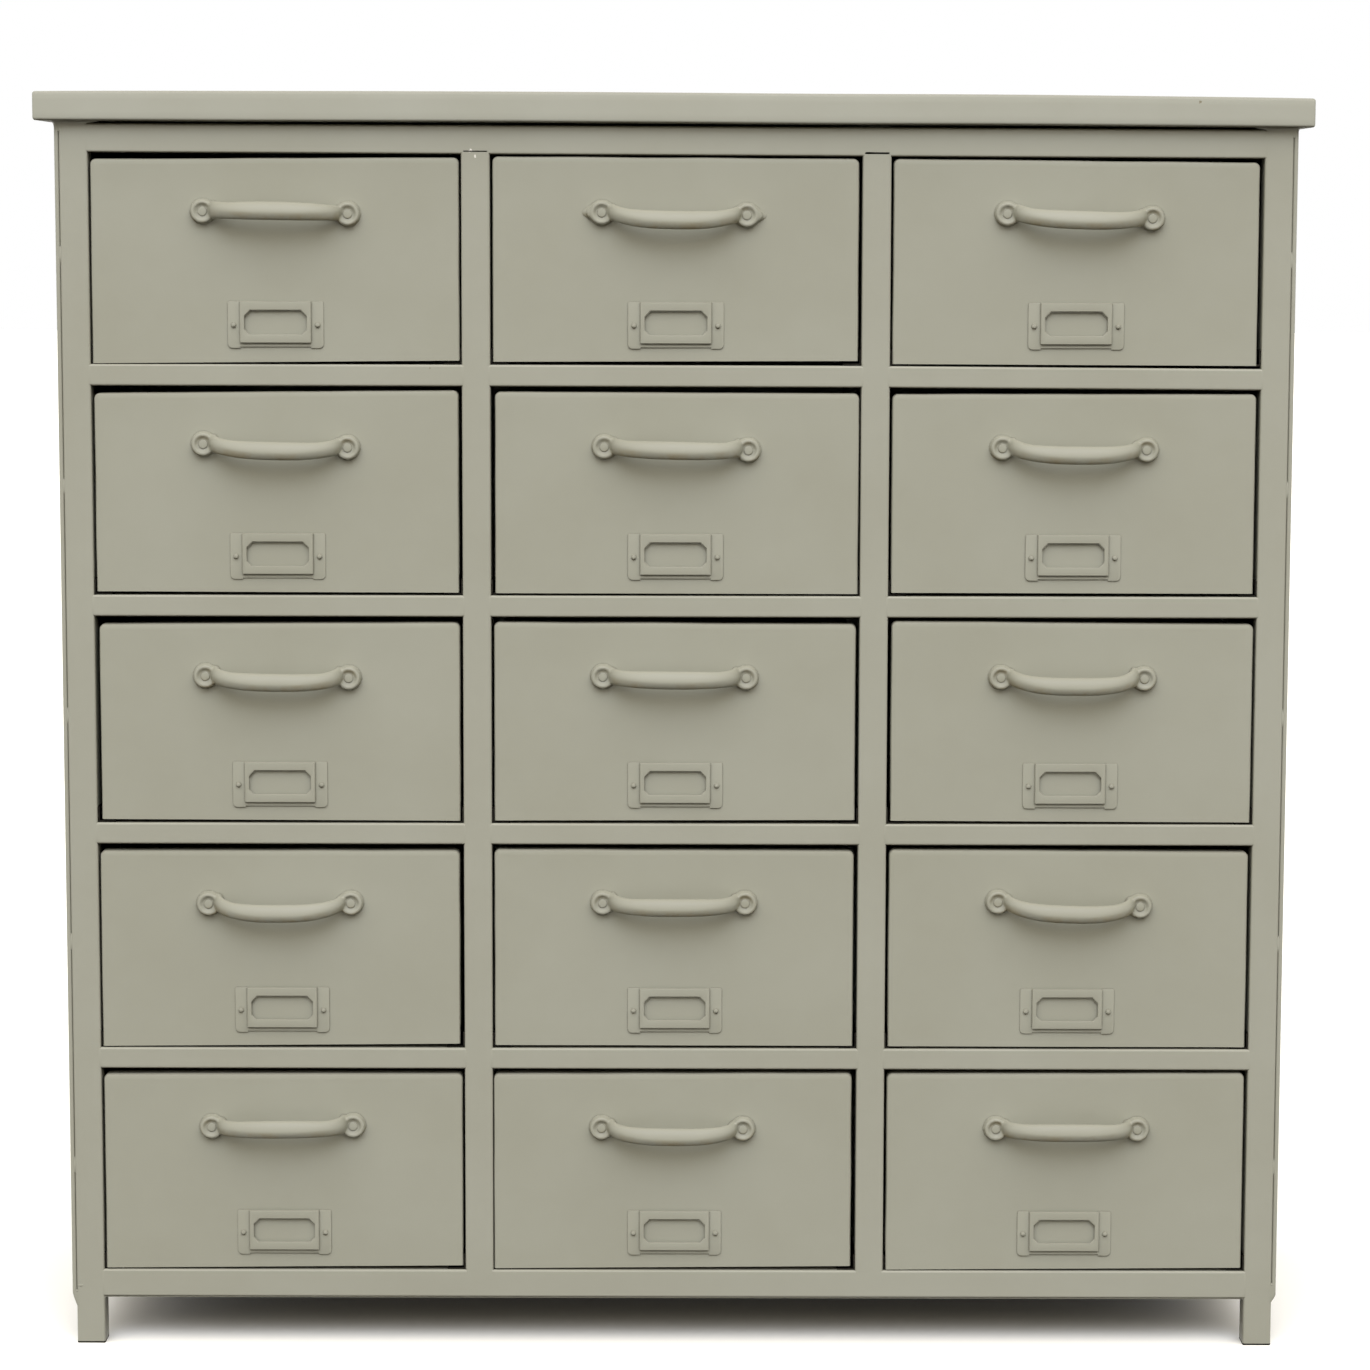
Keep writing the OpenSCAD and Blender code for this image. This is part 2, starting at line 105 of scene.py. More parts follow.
HANDLE_SPAN = 126.5 * MM
HANDLE_HEIGHT = 130 * MM
HANDLE_REACH = 28 * MM
GRIP_THICKNESS = 10.5 * MM
GRIP_ROOT = 4 * MM
GRIP_SHOULDER = 1.8 * MM
GRIP_SHOULDER_LENGTH = 18 * MM
SHOULDER_SPREAD = 1.6
# Half the grip's height by the eyes, and how much more it is in the middle, in millimetres.
GRIP_HALF_HEIGHT = 6.7
GRIP_SWELL = 1.4
# Exponents of the grip's middle line. Below 1 it leaves the eyes steeply and runs flat between
# them, and above 1 its sag gathers in the middle.
GRIP_ALONG = 0.74
GRIP_BOW = 0.70
GRIP_SAG = 1.6
EYE_RADIUS = 11 * MM
EYE_HEIGHT = 7 * MM
EYE_FLOOR = 3 * MM
# The eye's foot: distances past its radius and out from the drawer front, in millimetres.
EYE_FOOT = ((0.8, 0), (0.5, 0.7), (-0.2, 1.8), (-0.5, 3))
EYE_WAIST = 0.5 * MM
EYE_RIM_SHIFT = 0.2 * MM
RECESS_FLOOR = 4.6 * MM
RECESS_RADIUS = 5.2 * MM
LEAF_TIP = 4 * MM
LEAF_HEIGHT = 5 * MM
LEAF_SHARPNESS = 14
CAST_VOXEL = 0.85 * MM
CAST_KEPT_FACES = 0.4

# A head's dome starts at this share of its height, and leaves the FLAT share of its radius flat.
HEAD_EDGE = 0.25
HEAD_RADIUS = 4.4 * MM
HEAD_HEIGHT = 2.6 * MM
HEAD_FLAT = 0.72
SCREW_RADIUS = 2 * MM
SCREW_END = 5.9 * MM
NUT_RADIUS = 4 * MM
NUT_END = 4.4 * MM
RIVET_RADIUS = 2.4 * MM
RIVET_HEIGHT = 2.4 * MM
RIVET_FLAT = 0.15
RIVET_SHANK_RADIUS = 1.5 * MM
RIVET_SHANK_PAST = 1 * MM

LABEL_WIDTH = 84 * MM
LABEL_HEIGHT = 41 * MM
LABEL_BOTTOM = 12.5 * MM
LABEL_SHEET = 1.2 * MM
LABEL_EDGE = 0.55 * MM
LABEL_RIVET_SPAN = 73.5 * MM
CARD_FRAME_WIDTH = 62.5 * MM
CARD_FRAME_HEIGHT = 36.5 * MM
CARD_FRAME_RISE = 2.6 * MM
CARD_FRAME_EDGE = 1.2 * MM
CARD_FRAME_SHEET = 0.4 * MM
WINDOW_WIDTH = 54.5 * MM
WINDOW_HEIGHT = 21 * MM
WINDOW_CUT = 5.5 * MM
WINDOW_LOW_CUT = 0.8
WING_UNDER = 0.5 * MM
WING_CORNER = 4 * MM
WING_CHAMFER = 0.8 * MM
STRAP_TOP = 5.5 * MM
STRAP_BOTTOM = 1.2 * MM

TUBE = 25 * MM
RAIL_TUBE = 19 * MM
TUBE_CORNER = 2 * MM
FILL_LENGTH = TUBE_CORNER * 0.93
HEM_NOSE = 2 * MM
HEM_WIDTH = 14 * MM
# The weld at a hem's end: how deep it is rooted, how far it stands proud of the post's face, and
# how far back its outer edge is rounded.
HEM_ROOT = 2.5 * MM
HEM_PROUD = 0.05 * MM
HEM_EDGE = (0.4 * MM, 1.7 * MM)
FOOT_WELD = 3.5 * MM
WELD_ROOT = 0.5 * MM
WELD_LUMPS = 0.12
WELD_LUMP_RATE = 1.7
# Half sizes of weld beads, in millimetres.
HEM_TACK = (1.9, 1.3, 7.5)
SEAM_BEAD = (1.2, 0.7, 1.3)
SPATTER = (2.4, 0.3, 1.2)
# Each tack sits at this share of the height of the drawer beside it.
TACK_RISE = 0.53

# The front posts: side, panel, and in millimetres how deep the weld under the top is at the
# corner, and how high the seam beside the hem and the weld below it end.
POST_SIDES = (
    (-1, "side_panel_left", 9.5, 48, 35),
    (1, "side_panel_right", 5.5, 56, 40),
)
# The weld under the top, along a post's front and round onto its panel. Each place is counted in
# millimetres from the post's inner edge, the hem's groove or the panel: how far outwards and how
# far back, then the way out sideways and forwards, the reach and the drop. No drop stands for the
# depth at the corner.
TOP_WELD = (
    ("inner", -9, 0, 0, -1, 0.2, 0.2), ("inner", 0, 0, 0, -1, 1.5, 1.8),
    ("inner", 9, 0, 0, -1, 2.4, 3.2), ("groove", -5, 0, 0, -1, 2.6, 4.5),
    ("groove", 0, 0, 0.2, -1, 1.2, 9), ("outer", -1, 0.6, 0.6, -1, 1.6, None),
    ("outer", 0, 4, 1, 0, 3.2, None), ("outer", 0, 22, 1, 0, 3, None),
    ("outer", 0, 34, 1, 0, 1, 2),
)

# How each drawer front hangs, no two quite alike, in millimetres: shift to the right, rise of the
# upper edge, upper right corner over the upper left one, lift of the lower edge, lower right
# corner over the lower left one, and extra width.
FRONT_FIT = {
    ("left", 1): (0.0, -0.4, 1.8, 0.6, 3.0, 2.2),
    ("middle", 1): (-0.4, 0.8, -1.6, 1.8, 1.3, 0.6),
    ("right", 1): (-0.9, -1.2, -2.6, -0.6, -1.0, -0.1),
    ("left", 2): (-0.3, -0.5, 2.9, 1.3, -0.6, 0.3),
    ("middle", 2): (1.1, -0.7, -0.9, 0.6, -0.1, 0.5),
    ("right", 2): (-0.5, -1.2, 0.5, 1.6, -0.2, 0.0),
    ("left", 3): (0.6, -1.5, 1.7, 1.2, -0.9, -0.8),
    ("middle", 3): (-0.4, -0.8, -1.4, 1.6, 1.1, 0.3),
    ("right", 3): (0.5, 0.3, -2.1, 1.1, -0.9, 0.0),
    ("left", 4): (-1.0, -1.4, 0.5, 1.0, 2.7, 0.3),
    ("middle", 4): (-0.8, -0.3, -0.8, 1.2, -0.1, 0.2),
    ("right", 4): (-0.2, -0.2, -1.3, 0.7, -0.3, 0.0),
    ("left", 5): (0.0, -0.5, 0.6, 1.1, 2.6, 1.9),
    ("middle", 5): (-1.7, 0.4, 1.1, 1.2, 2.7, 1.2),
    ("right", 5): (-0.3, 1.2, 1.0, 0.5, 2.4, 0.5),
}

# How each pull was fixed and bent: shift right, shift up and drop of the grip's middle in
# millimetres, and its tilt in degrees.
PULL_FIT = {
    ("left", 1): (0.6, 0.5, -1.4, -0.9),
    ("middle", 1): (-1.5, 0.0, 5.3, -0.9),
    ("right", 1): (1.8, -1.2, 3.4, -1.7),
    ("left", 2): (-1.1, 0.3, 3.5, -1.3),
    ("middle", 2): (0.5, -1.4, 0.8, -1.2),
    ("right", 2): (-0.2, -1.2, 4.4, -0.7),
    ("left", 3): (-1.6, -0.8, 3.0, -0.7),
    ("middle", 3): (-0.7, -0.4, 0.5, -0.4),
    ("right", 3): (0.9, -0.5, 5.4, -0.4),
    ("left", 4): (-1.2, -0.5, 6.0, 0.3),
    ("middle", 4): (-0.9, 0.5, 1.0, 0.0),
    ("right", 4): (0.3, 0.2, 5.8, -1.6),
    ("left", 5): (-0.7, 0.4, -1.3, 0.5),
    ("middle", 5): (-2.0, -0.9, 3.5, -0.4),
    ("right", 5): (0.8, -0.8, -1.0, -0.2),
}
# These pulls have a pointed leaf at the outer end of each eye.
LEAF_PULLS = {("middle", 1)}

# ---------- mesh tools

FORWARD = Vector((0, -1, 0))
# Vertices closer than this merge, in folded sheet and in small or detailed parts.
MERGE = 1e-6
FINE_MERGE = 1e-7


def add_object(name, mesh, material, body, replaced=()):
    """Shows the mesh as a piece that rides on a body and stands for the CAD nodes named."""
    obj = bpy.data.objects.new(name, mesh)
    bpy.context.scene.collection.objects.link(obj)
    mesh.materials.clear()
    mesh.materials.append(material)
    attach(obj, body)
    if replaced:
        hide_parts(*replaced)
    return obj


def gathered(runs):
    """One list of vertices and one of faces out of several pairs of them."""
    vertices, faces = [], []
    for more, cells in runs:
        start = len(vertices)
        vertices += more
        faces += [tuple(start + i for i in cell) for cell in cells]
    return vertices, faces


def moved(run, x):
    """A run of vertices and faces, moved along X."""
    vertices, faces = run
    return [v + Vector((x, 0, 0)) for v in vertices], faces


def mesh_of(vertices, faces, merge=MERGE):
    """A bmesh of the faces, with vertices that coincide merged."""
    bm = bmesh.new()
    made = [bm.verts.new(v) for v in vertices]
    for face in faces:
        bm.faces.new([made[i] for i in face])
    bmesh.ops.remove_doubles(bm, verts=bm.verts, dist=merge)
    bmesh.ops.dissolve_degenerate(bm, edges=bm.edges, dist=merge)
    bmesh.ops.recalc_face_normals(bm, faces=bm.faces)
    return bm


def loft(rings, closed=True, capped=False):
    """Vertices and faces of a surface through rings with the same number of points."""
    count = len(rings[0])
    vertices = [p for ring in rings for p in ring]
    around = count if closed else count - 1
    faces = []
    for i in range(len(rings) - 1):
        for k in range(around):
            a, b = i * count + k, i * count + (k + 1) % count
            faces.append((a, b, b + count, a + count))
    if capped:
        faces.append(tuple(range(count - 1, -1, -1)))
        faces.append(tuple(range(len(vertices) - count, len(vertices))))
    return vertices, faces


def prism(ring, *ys):
    """Closed solid between two places along Y, from a ring of (x, z) points."""
    return loft([[Vector((x, y, z)) for x, z in ring] for y in ys], capped=True)


def facing(bm, outwards):
    """Turns the faces so that most of their area looks the way a function gives for a place."""
    total = sum(outwards(f.calc_center_median()).dot(f.normal) * f.calc_area() for f in bm.faces)
    if total < 0:
        bmesh.ops.reverse_faces(bm, faces=bm.faces)
    return bm


def settled(bm, modifiers=(), sharp_over=32):
    """The mesh with its modifiers applied, smooth except at edges sharper than an angle."""
    mesh = bpy.data.meshes.new("settled")
    bm.to_mesh(mesh)
    bm.free()
    if modifiers:
        maker = bpy.data.objects.new("maker", mesh)
        bpy.context.scene.collection.objects.link(maker)
        for kind, settings in modifiers:
            modifier = maker.modifiers.new(kind.title(), kind)
            for key, value in settings.items():
                setattr(modifier, key, value)
        graph = bpy.context.evaluated_depsgraph_get()
        plain, mesh = mesh, bpy.data.meshes.new_from_object(maker.evaluated_get(graph))
        bpy.data.objects.remove(maker)
        bpy.data.meshes.remove(plain)
    bm = bmesh.new()
    bm.from_mesh(mesh)
    for face in bm.faces:
        face.smooth = True
    for edge in bm.edges:
        edge.smooth = edge.calc_face_angle(math.pi) < math.radians(sharp_over)
    bm.to_mesh(mesh)
    bm.free()
    return mesh


def fine(runs, sharp_over, modifiers=()):
    """The settled mesh of runs of vertices and faces of a small or detailed part."""
    return settled(mesh_of(*gathered(runs), FINE_MERGE), modifiers, sharp_over)


def thick(sheet):
    """Modifier that gives a surface the thickness of a sheet, inwards."""
    return ("SOLIDIFY", {"thickness": sheet, "offset": -1, "use_even_offset": True})


def eased(width, segments, sharp_over):
    """Modifier that rounds the edges sharper than an angle."""
    return ("BEVEL", {"width": width, "segments": segments, "limit_method": "ANGLE",
                      "angle_limit": math.radians(sharp_over)})


def joined(meshes):
    """One mesh out of several."""
    bm = bmesh.new()
    for mesh in meshes:
        bm.from_mesh(mesh)
    mesh = bpy.data.meshes.new("joined")
    bm.to_mesh(mesh)
    bm.free()
    for part in meshes:
        bpy.data.meshes.remove(part)
    return mesh


def round_path(points, radius, steps=4):
    """The path through 2-D points, with an arc of that radius at each inner point."""
    path = [Vector(points[0])]
    for before, corner, after in zip(points, points[1:], points[2:]):
        corner = Vector(corner)
        back = (Vector(before) - corner).normalized()
        ahead = (Vector(after) - corner).normalized()
        half = back.angle(ahead) / 2
        centre = corner + (back + ahead).normalized() * radius / math.sin(half)
        start = (corner + back * radius / math.tan(half) - centre).normalized()
        end = (corner + ahead * radius / math.tan(half) - centre).normalized()
        for k in range(steps + 1):
            path.append(centre + start.slerp(end, k / steps) * radius)
    path.append(Vector(points[-1]))
    return path


def lathe(profile, segments):
    """Rings about the Y axis from (radius, distance out along -Y) points."""
    rings = []
    for radius, out in profile:
        angles = [2 * math.pi * k / segments for k in range(segments)]
        rings.append([Vector((radius * math.cos(a), -out, radius * math.sin(a))) for a in angles])
    return loft(rings, capped=True)


def round_rect_ring(width, height, radius, steps=5):
    """Points of a rectangle with rounded corners about the origin, in a plane."""
    ring = []
    for quarter, (sx, sy) in enumerate(((1, 1), (-1, 1), (-1, -1), (1, -1))):
        for k in range(steps + 1):
            a = math.radians(90 * (quarter + k / steps))
            ring.append((sx * (width / 2 - radius) + radius * math.cos(a),
                         sy * (height / 2 - radius) + radius * math.sin(a)))
    return ring


# ---------- paint

PAINT = (0.353, 0.358, 0.306, 1)
PAINT_PALE = (0.373, 0.380, 0.333, 1)
PAINT_DULL = (0.334, 0.336, 0.284, 1)
PRIMER = (0.80, 0.79, 0.76, 1)
UNDER_TINT = (0.30, 0.26, 0.16, 1)
SCAR = (0.22, 0.20, 0.14, 1)
# The colour of painted shade, mixed into creases and into faces that look up or straight down.
PAINTED_SHADE = (0.10, 0.09, 0.07, 1)
# Black that stands for deep shade in dull stuff.
PAINTED_BLACK_SHADE = (0.004, 0.004, 0.003, 1)
BLACK = (0, 0, 0, 1)
FLOOR_SHADE = 0.08

BLOTCH_SIZE = 160 * MM
MOTTLE_SIZE = 14 * MM
STAIN_SIZE = 22 * MM
RAGGED_SIZE = 1.2 * MM
PEEL_SIZE = 2.2 * MM
PEEL_DEPTH = 0.05 * MM
RIPPLE_SIZE = 30 * MM
RIPPLE_DEPTH = 0.5 * MM
# Chips are this far apart, and this big as a share of that.
CHIP_SPACING = 38 * MM
CHIP_SIZE = 0.012
# Painted shade darkens creases of this width in the paint, and in dull stuff turns black what has
# nothing open within the second.
CREASE = 2.5 * MM
CREASE_SHADE = 0.6
SHADE_REACH = 60 * MM
SHADE_SAMPLES = 6
PAINT_IOR = 1.5
PAINT_SPECULAR = 0.5
DULL_SPECULAR = 0.04

# Places where the paint is chipped to the primer or scarred, each with its radius. The pale chips
# on the frame sit on a small ding and are partly a painted highlight.
CHIP_HIGHLIGHTS_FRAME = [((-0.179, -0.177, 1.066), 1.7 * MM), ((-0.175, -0.177, 1.061), 1.3 * MM)]
SCARRED_FRAME = [((-0.2153, -0.177, 0.877), 0.8 * MM)]
SCARRED_DRAWERS = [((-0.1909, -0.176, 0.863), 0.8 * MM)]
SCARRED_TOP = [((0.4537, -0.187, 1.109), 1.4 * MM)]


def cleared(owner):
    """The node tree of a material or world, emptied."""
    owner.use_nodes = True
    owner.node_tree.nodes.clear()
    return owner.node_tree


def node(tree, kind, settings=None, **inputs):
    """Adds a shader node. An input is a value, or the output socket that feeds it."""
    made = tree.nodes.new(kind)
    for key, value in (settings or {}).items():
        setattr(made, key, value)
    for name, value in inputs.items():
        key = int(name[1:]) if name[0] == "i" and name[1:].isdigit() else name.replace("_", " ")
        if isinstance(value, bpy.types.NodeSocket):
            tree.links.new(value, made.inputs[key])
        else:
            made.inputs[key].default_value = value
    return made


def noise_of(tree, place, size, detail=3.0, roughness=0.5):
    """Noise from 0 to 1 with features of about that size in metres."""
    made = node(tree, "ShaderNodeTexNoise", Vector=place, Scale=1 / size, Detail=detail,
                Roughness=roughness)
    return made.outputs["Fac"]


def maths(tree, operation, *values):
    """Output of a maths node."""
    inputs = {f"i{k}": value for k, value in enumerate(values)}
    return node(tree, "ShaderNodeMath", {"operation": operation}, **inputs).outputs[0]


def spread(tree, value, low, high, out_low=0.0, out_high=1.0):
    """Maps low..high to out_low..out_high, clamped."""
    made = node(tree, "ShaderNodeMapRange", i0=value, i1=low, i2=high, i3=out_low, i4=out_high)
    return made.outputs["Result"]


def mixed(tree, factor, first, second):
    """Blend of two colours."""
    return node(tree, "ShaderNodeMix", {"data_type": "RGBA"}, i0=factor, i6=first,
                i7=second).outputs[2]


def height_of(tree, vector):
    """The Z of a vector."""
    return node(tree, "ShaderNodeSeparateXYZ", Vector=vector).outputs["Z"]


def openness(tree, reach):
    """1 where the surroundings are open within reach, falling to 0 where they close in."""
    made = node(tree, "ShaderNodeAmbientOcclusion", {"samples": SHADE_SAMPLES}, Distance=reach)
    return made.outputs["AO"]


def shaded(colour, tone):
    """The colour times a tone."""
    return tuple(c * t for c, t in zip(colour, tone)) + (1,)


def marked(tree, place, colour, marks, mark_colour):
    """Small ragged marks of another colour, each a centre and a radius in metres."""
    ragged = noise_of(tree, place, RAGGED_SIZE, 2)
    for centre, radius in marks:
        gap = node(tree, "ShaderNodeVectorMath", {"operation": "DISTANCE"}, i0=place, i1=centre)
        reach = spread(tree, ragged, 0.3, 0.7, 0.4 * radius, 1.3 * radius)
        inside = maths(tree, "LESS_THAN", gap.outputs["Value"], reach)
        colour = mixed(tree, inside, colour, mark_colour)
    return colour


def chipped(tree, place, colour, amount):
    """Specks of primer strewn over the paint."""
    spots = node(tree, "ShaderNodeTexVoronoi", Vector=place, Scale=1 / CHIP_SPACING,
                 Randomness=1.0)
    ragged = noise_of(tree, place, RAGGED_SIZE, 2)
    reach = spread(tree, ragged, 0.2, 0.8, -CHIP_SIZE, 0.02)
    limit = maths(tree, "ADD", reach, CHIP_SIZE * amount)
    inside = maths(tree, "LESS_THAN", spots.outputs["Distance"], limit)
    return mixed(tree, inside, colour, PRIMER)


def paint(name, roughness=0.42, tone=(1, 1, 1), under_tint=0.0, up_shade=0.0, down_shade=0.6, chips=0.0,
          chip_highlights=(), scars=()):
    """Satin paint sprayed on steel: faint blotches, orange peel and age.

    under_tint darkens and yellows patches of what looks down. up_shade darkens what looks up and
    down_shade what looks straight down, taking its gloss too: both are painted shade. chips strews
    specks of primer. chip_highlights and scars are single marks; the pale chip_highlights are
    partly a painted highlight.
    """
    material = bpy.data.materials.new(name)
    tree = cleared(material)
    place = node(tree, "ShaderNodeTexCoord").outputs["Object"]
    cloud = noise_of(tree, place, BLOTCH_SIZE, 4, 0.6)
    mottle = noise_of(tree, place, MOTTLE_SIZE, 3, 0.6)
    pale = shaded(PAINT_PALE, tone)
    colour = mixed(tree, spread(tree, cloud, 0.35, 0.65), shaded(PAINT_DULL, tone), pale)
    colour = mixed(tree, 0.45, colour, shaded(PAINT, tone))
    colour = mixed(tree, spread(tree, mottle, 0.3, 0.7, 0.0, 0.12), colour, pale)
    # Painted shade: the paint is darkened towards the floor, as less light falls low down.
    low = spread(tree, height_of(tree, place), 0.02, 0.95, FLOOR_SHADE, 0.0)
    colour = mixed(tree, low, colour, BLACK)
    up = height_of(tree, node(tree, "ShaderNodeNewGeometry").outputs["Normal"])
    if under_tint:
        # Patches of what looks down are darkened and yellowed.
        patchy = spread(tree, noise_of(tree, place, STAIN_SIZE, 4, 0.65), 0.42, 0.66)
        under = maths(tree, "MULTIPLY", patchy, spread(tree, up, 0.1, -0.7))
        colour = mixed(tree, maths(tree, "MULTIPLY", under, under_tint), colour, UNDER_TINT)
    if chips:
        colour = chipped(tree, place, colour, chips)
    # Pale marks, partly chipped paint and partly a painted highlight on a ding.
    colour = marked(tree, place, colour, chip_highlights, PRIMER)
    colour = marked(tree, place, colour, scars, SCAR)
    # Painted shade: what looks straight down is darkened, and further on it also loses gloss.
    colour = mixed(tree, spread(tree, up, -0.4, -0.9, 0.0, down_shade), colour, PAINTED_SHADE)
    # Painted shade: what looks up is darkened a little, to tone down the light that falls on it.
    colour = mixed(tree, spread(tree, up, 0.04, 0.55, 0.0, up_shade), colour, PAINTED_SHADE)
    # Painted shade: creases and recesses, where little is open round them, are darkened.
    crease_shade = spread(tree, openness(tree, CREASE), 0.8, 0.3, 0.0, CREASE_SHADE)
    colour = mixed(tree, crease_shade, colour, PAINTED_SHADE)
    rough = spread(tree, mottle, 0.2, 0.8, roughness - 0.05, roughness + 0.06)
    peel = node(tree, "ShaderNodeBump", Strength=0.5, Distance=PEEL_DEPTH,
                Height=noise_of(tree, place, PEEL_SIZE, 2))
    ripple = node(tree, "ShaderNodeBump", Strength=0.5, Distance=RIPPLE_DEPTH,
                  Height=noise_of(tree, place, RIPPLE_SIZE, 2), Normal=peel.outputs["Normal"])
    gloss = spread(tree, up, -0.4, -0.9, PAINT_SPECULAR, PAINT_SPECULAR - 0.8 * down_shade)
    shader = node(tree, "ShaderNodeBsdfPrincipled", Base_Color=colour, Roughness=rough,
                  IOR=PAINT_IOR, Specular_IOR_Level=gloss, Normal=ripple.outputs["Normal"])
    node(tree, "ShaderNodeOutputMaterial", Surface=shader.outputs[0])
    return material


def dull(name, dark, dusty, roughness):
    """Plain dark stuff with patches of dust, painted black as shade where little is open round it.
    """
    material = bpy.data.materials.new(name)
    tree = cleared(material)
    place = node(tree, "ShaderNodeTexCoord").outputs["Object"]
    dust = spread(tree, noise_of(tree, place, 6 * MM, 4, 0.7), 0.45, 0.75, 0.0, 0.5)
    grain = noise_of(tree, place, 0.6 * MM, 2)
    bump = node(tree, "ShaderNodeBump", Strength=0.4, Distance=0.08 * MM, Height=grain)
    # Painted shade: black where little is open round it, such as in the gaps round the drawers.
    unshaded = spread(tree, openness(tree, SHADE_REACH), 0.55, 0.9)
    colour = mixed(tree, unshaded, PAINTED_BLACK_SHADE, mixed(tree, dust, dark, dusty))
    shader = node(tree, "ShaderNodeBsdfPrincipled", Base_Color=colour, Roughness=roughness,
                  Specular_IOR_Level=DULL_SPECULAR, Normal=bump.outputs["Normal"])
    node(tree, "ShaderNodeOutputMaterial", Surface=shader.outputs[0])
    return material


# ---------- drawers

def front_pan(width, height, seed):
    """Drawer front about x = 0 with its lower edge at z = 0 and its outside at y = 0."""
    half = width / 2 - FRONT_CORNER
    straight = height - FRONT_CORNER
    zs = np.linspace(RELIEF_HEIGHT, straight, 19)
    xs = np.linspace(-half, half, 33)
    turn = np.radians(np.linspace(0, 90, 7))
    # Places along the flat face's edge, each with the way out from there.
    stations = [((-half, z), (-1, 0)) for z in zs]
    stations += [((-half, straight), (-math.cos(a), math.sin(a))) for a in turn]
    stations += [((x, straight), (0, 1)) for x in xs]
    stations += [((half, straight), (math.sin(a), math.cos(a))) for a in turn]
    stations += [((half, z), (1, 0)) for z in zs[::-1]]
    # The bend, which the relief under the side flanges cuts off a little in from the edge.
    cut = math.asin(1 - RELIEF_STEP / FRONT_BEND)
    rest = math.pi / 2 - cut
    bend = [0, cut / 2, cut, cut + rest / 3, cut + rest * 2 / 3, math.pi / 2]
    profile = [(0, 0)]
    profile += [(FRONT_CORNER - FRONT_BEND * (1 - math.sin(a)), FRONT_BEND * (1 - math.cos(a)))
                for a in bend]
    up_to_cut = profile[:4]
    profile += [(FRONT_CORNER, y) for y in np.linspace(FRONT_BEND, FRONT_FLANGE, 4)[1:]]
    low = list(np.linspace(0, RELIEF_HEIGHT, 3))
    grids = [[[Vector((b[0] + n[0] * out, y, b[1] + n[1] * out)) for out, y in profile]
              for b, n in stations]]
    grids.append([[Vector((x, 0, z)) for x in xs] for z in low + list(zs[1:])])
    for side in (-1, 1):
        grids.append([[Vector((side * (half + out), y, z)) for out, y in up_to_cut] for z in low])
    bm = mesh_of(*gathered(loft(grid, closed=False) for grid in grids))
    facing(bm, lambda p: FORWARD)
    for v in bm.verts:
        x, z = v.co.x, v.co.z
        inside = min(1, max(0, (half + FRONT_CORNER - abs(x)) / DENT_FADE))
        inside *= min(1, max(0, (height - z) / DENT_FADE))
        dent = noise.noise(Vector((x / DENT_SIZE, z / DENT_SIZE, seed))) + DENT_BIAS
        v.co.y += DENT_DEPTH * inside * dent
        wave = noise.noise(Vector((z / EDGE_WAVE_SIZE, math.copysign(9, x), seed)))
        v.co.x += EDGE_WAVE * wave * abs(x) / half
        v.co.z += EDGE_WAVE * noise.noise(Vector((x / EDGE_WAVE_SIZE, 3, seed))) * z / height
    return bm


def tray(width, depth):
    """Open sheet box behind a front, about x = 0, with its back at y = depth."""
    w, h = width / 2, TRAY_HEIGHT
    corners = [(-w + TRAY_LIP, h), (-w, h), (-w, 0), (w, 0), (w, h), (w - TRAY_LIP, h)]
    section = round_path(corners, TRAY_BEND)
    ys = np.linspace(FRONT_SHEET, depth, 6)
    sides = loft([[Vector((p.x, y, p.y)) for p in section] for y in ys], closed=False)
    w, h = w - TRAY_SHEET, h - TRAY_SHEET
    section = round_path([(depth - TRAY_LIP, h), (depth, h), (depth, TRAY_SHEET)], TRAY_BEND)
    xs = np.linspace(-w, w, 6)
    back = loft([[Vector((x, p.x, p.y)) for p in section] for x in xs], closed=False)
    return mesh_of(*sides), mesh_of(*back)


def add_drawer(column, row, material):
    """A drawer's folded front, hung as crooked as in the photo, and the tray behind it."""
    name = f"drawer_{column}_{row}"
    low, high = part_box(name)
    width = high.x - low.x
    height = high.z - low.z
    depth = high.y - low.y
    shift, rise, corner, lift, heel, wide = (v * MM for v in FRONT_FIT[column, row])
    pan = front_pan(width + wide, height, 7.3 * row + 1.7 * COLUMNS.index(column))
    for v in pan.verts:
        share, aside = v.co.z / height, v.co.x / width
        v.co.z += share * (rise + corner * aside) + (1 - share) * (lift + heel * aside)
    parts = [settled(pan, [thick(FRONT_SHEET)])]
    middle = Vector((0, depth / 2, TRAY_HEIGHT / 2))
    # The tray hangs a little higher than the front's lower edge, which hides it.
    tuck = Matrix.Translation((0, 0, max(0, lift + abs(heel) / 2) + TRAY_TUCK))
    for bm in tray(width - 2 * FRONT_SHEET, depth):
        parts.append(settled(facing(bm, lambda p: p - middle), [thick(TRAY_SHEET)]))
        parts[-1].transform(tuck)
    mesh = joined(parts)
    mesh.transform(Matrix.Translation(((low.x + high.x) / 2 + shift, low.y, low.z)))
    return add_object(f"sheet_{name}", mesh, material, name, [name])


# ---------- handles

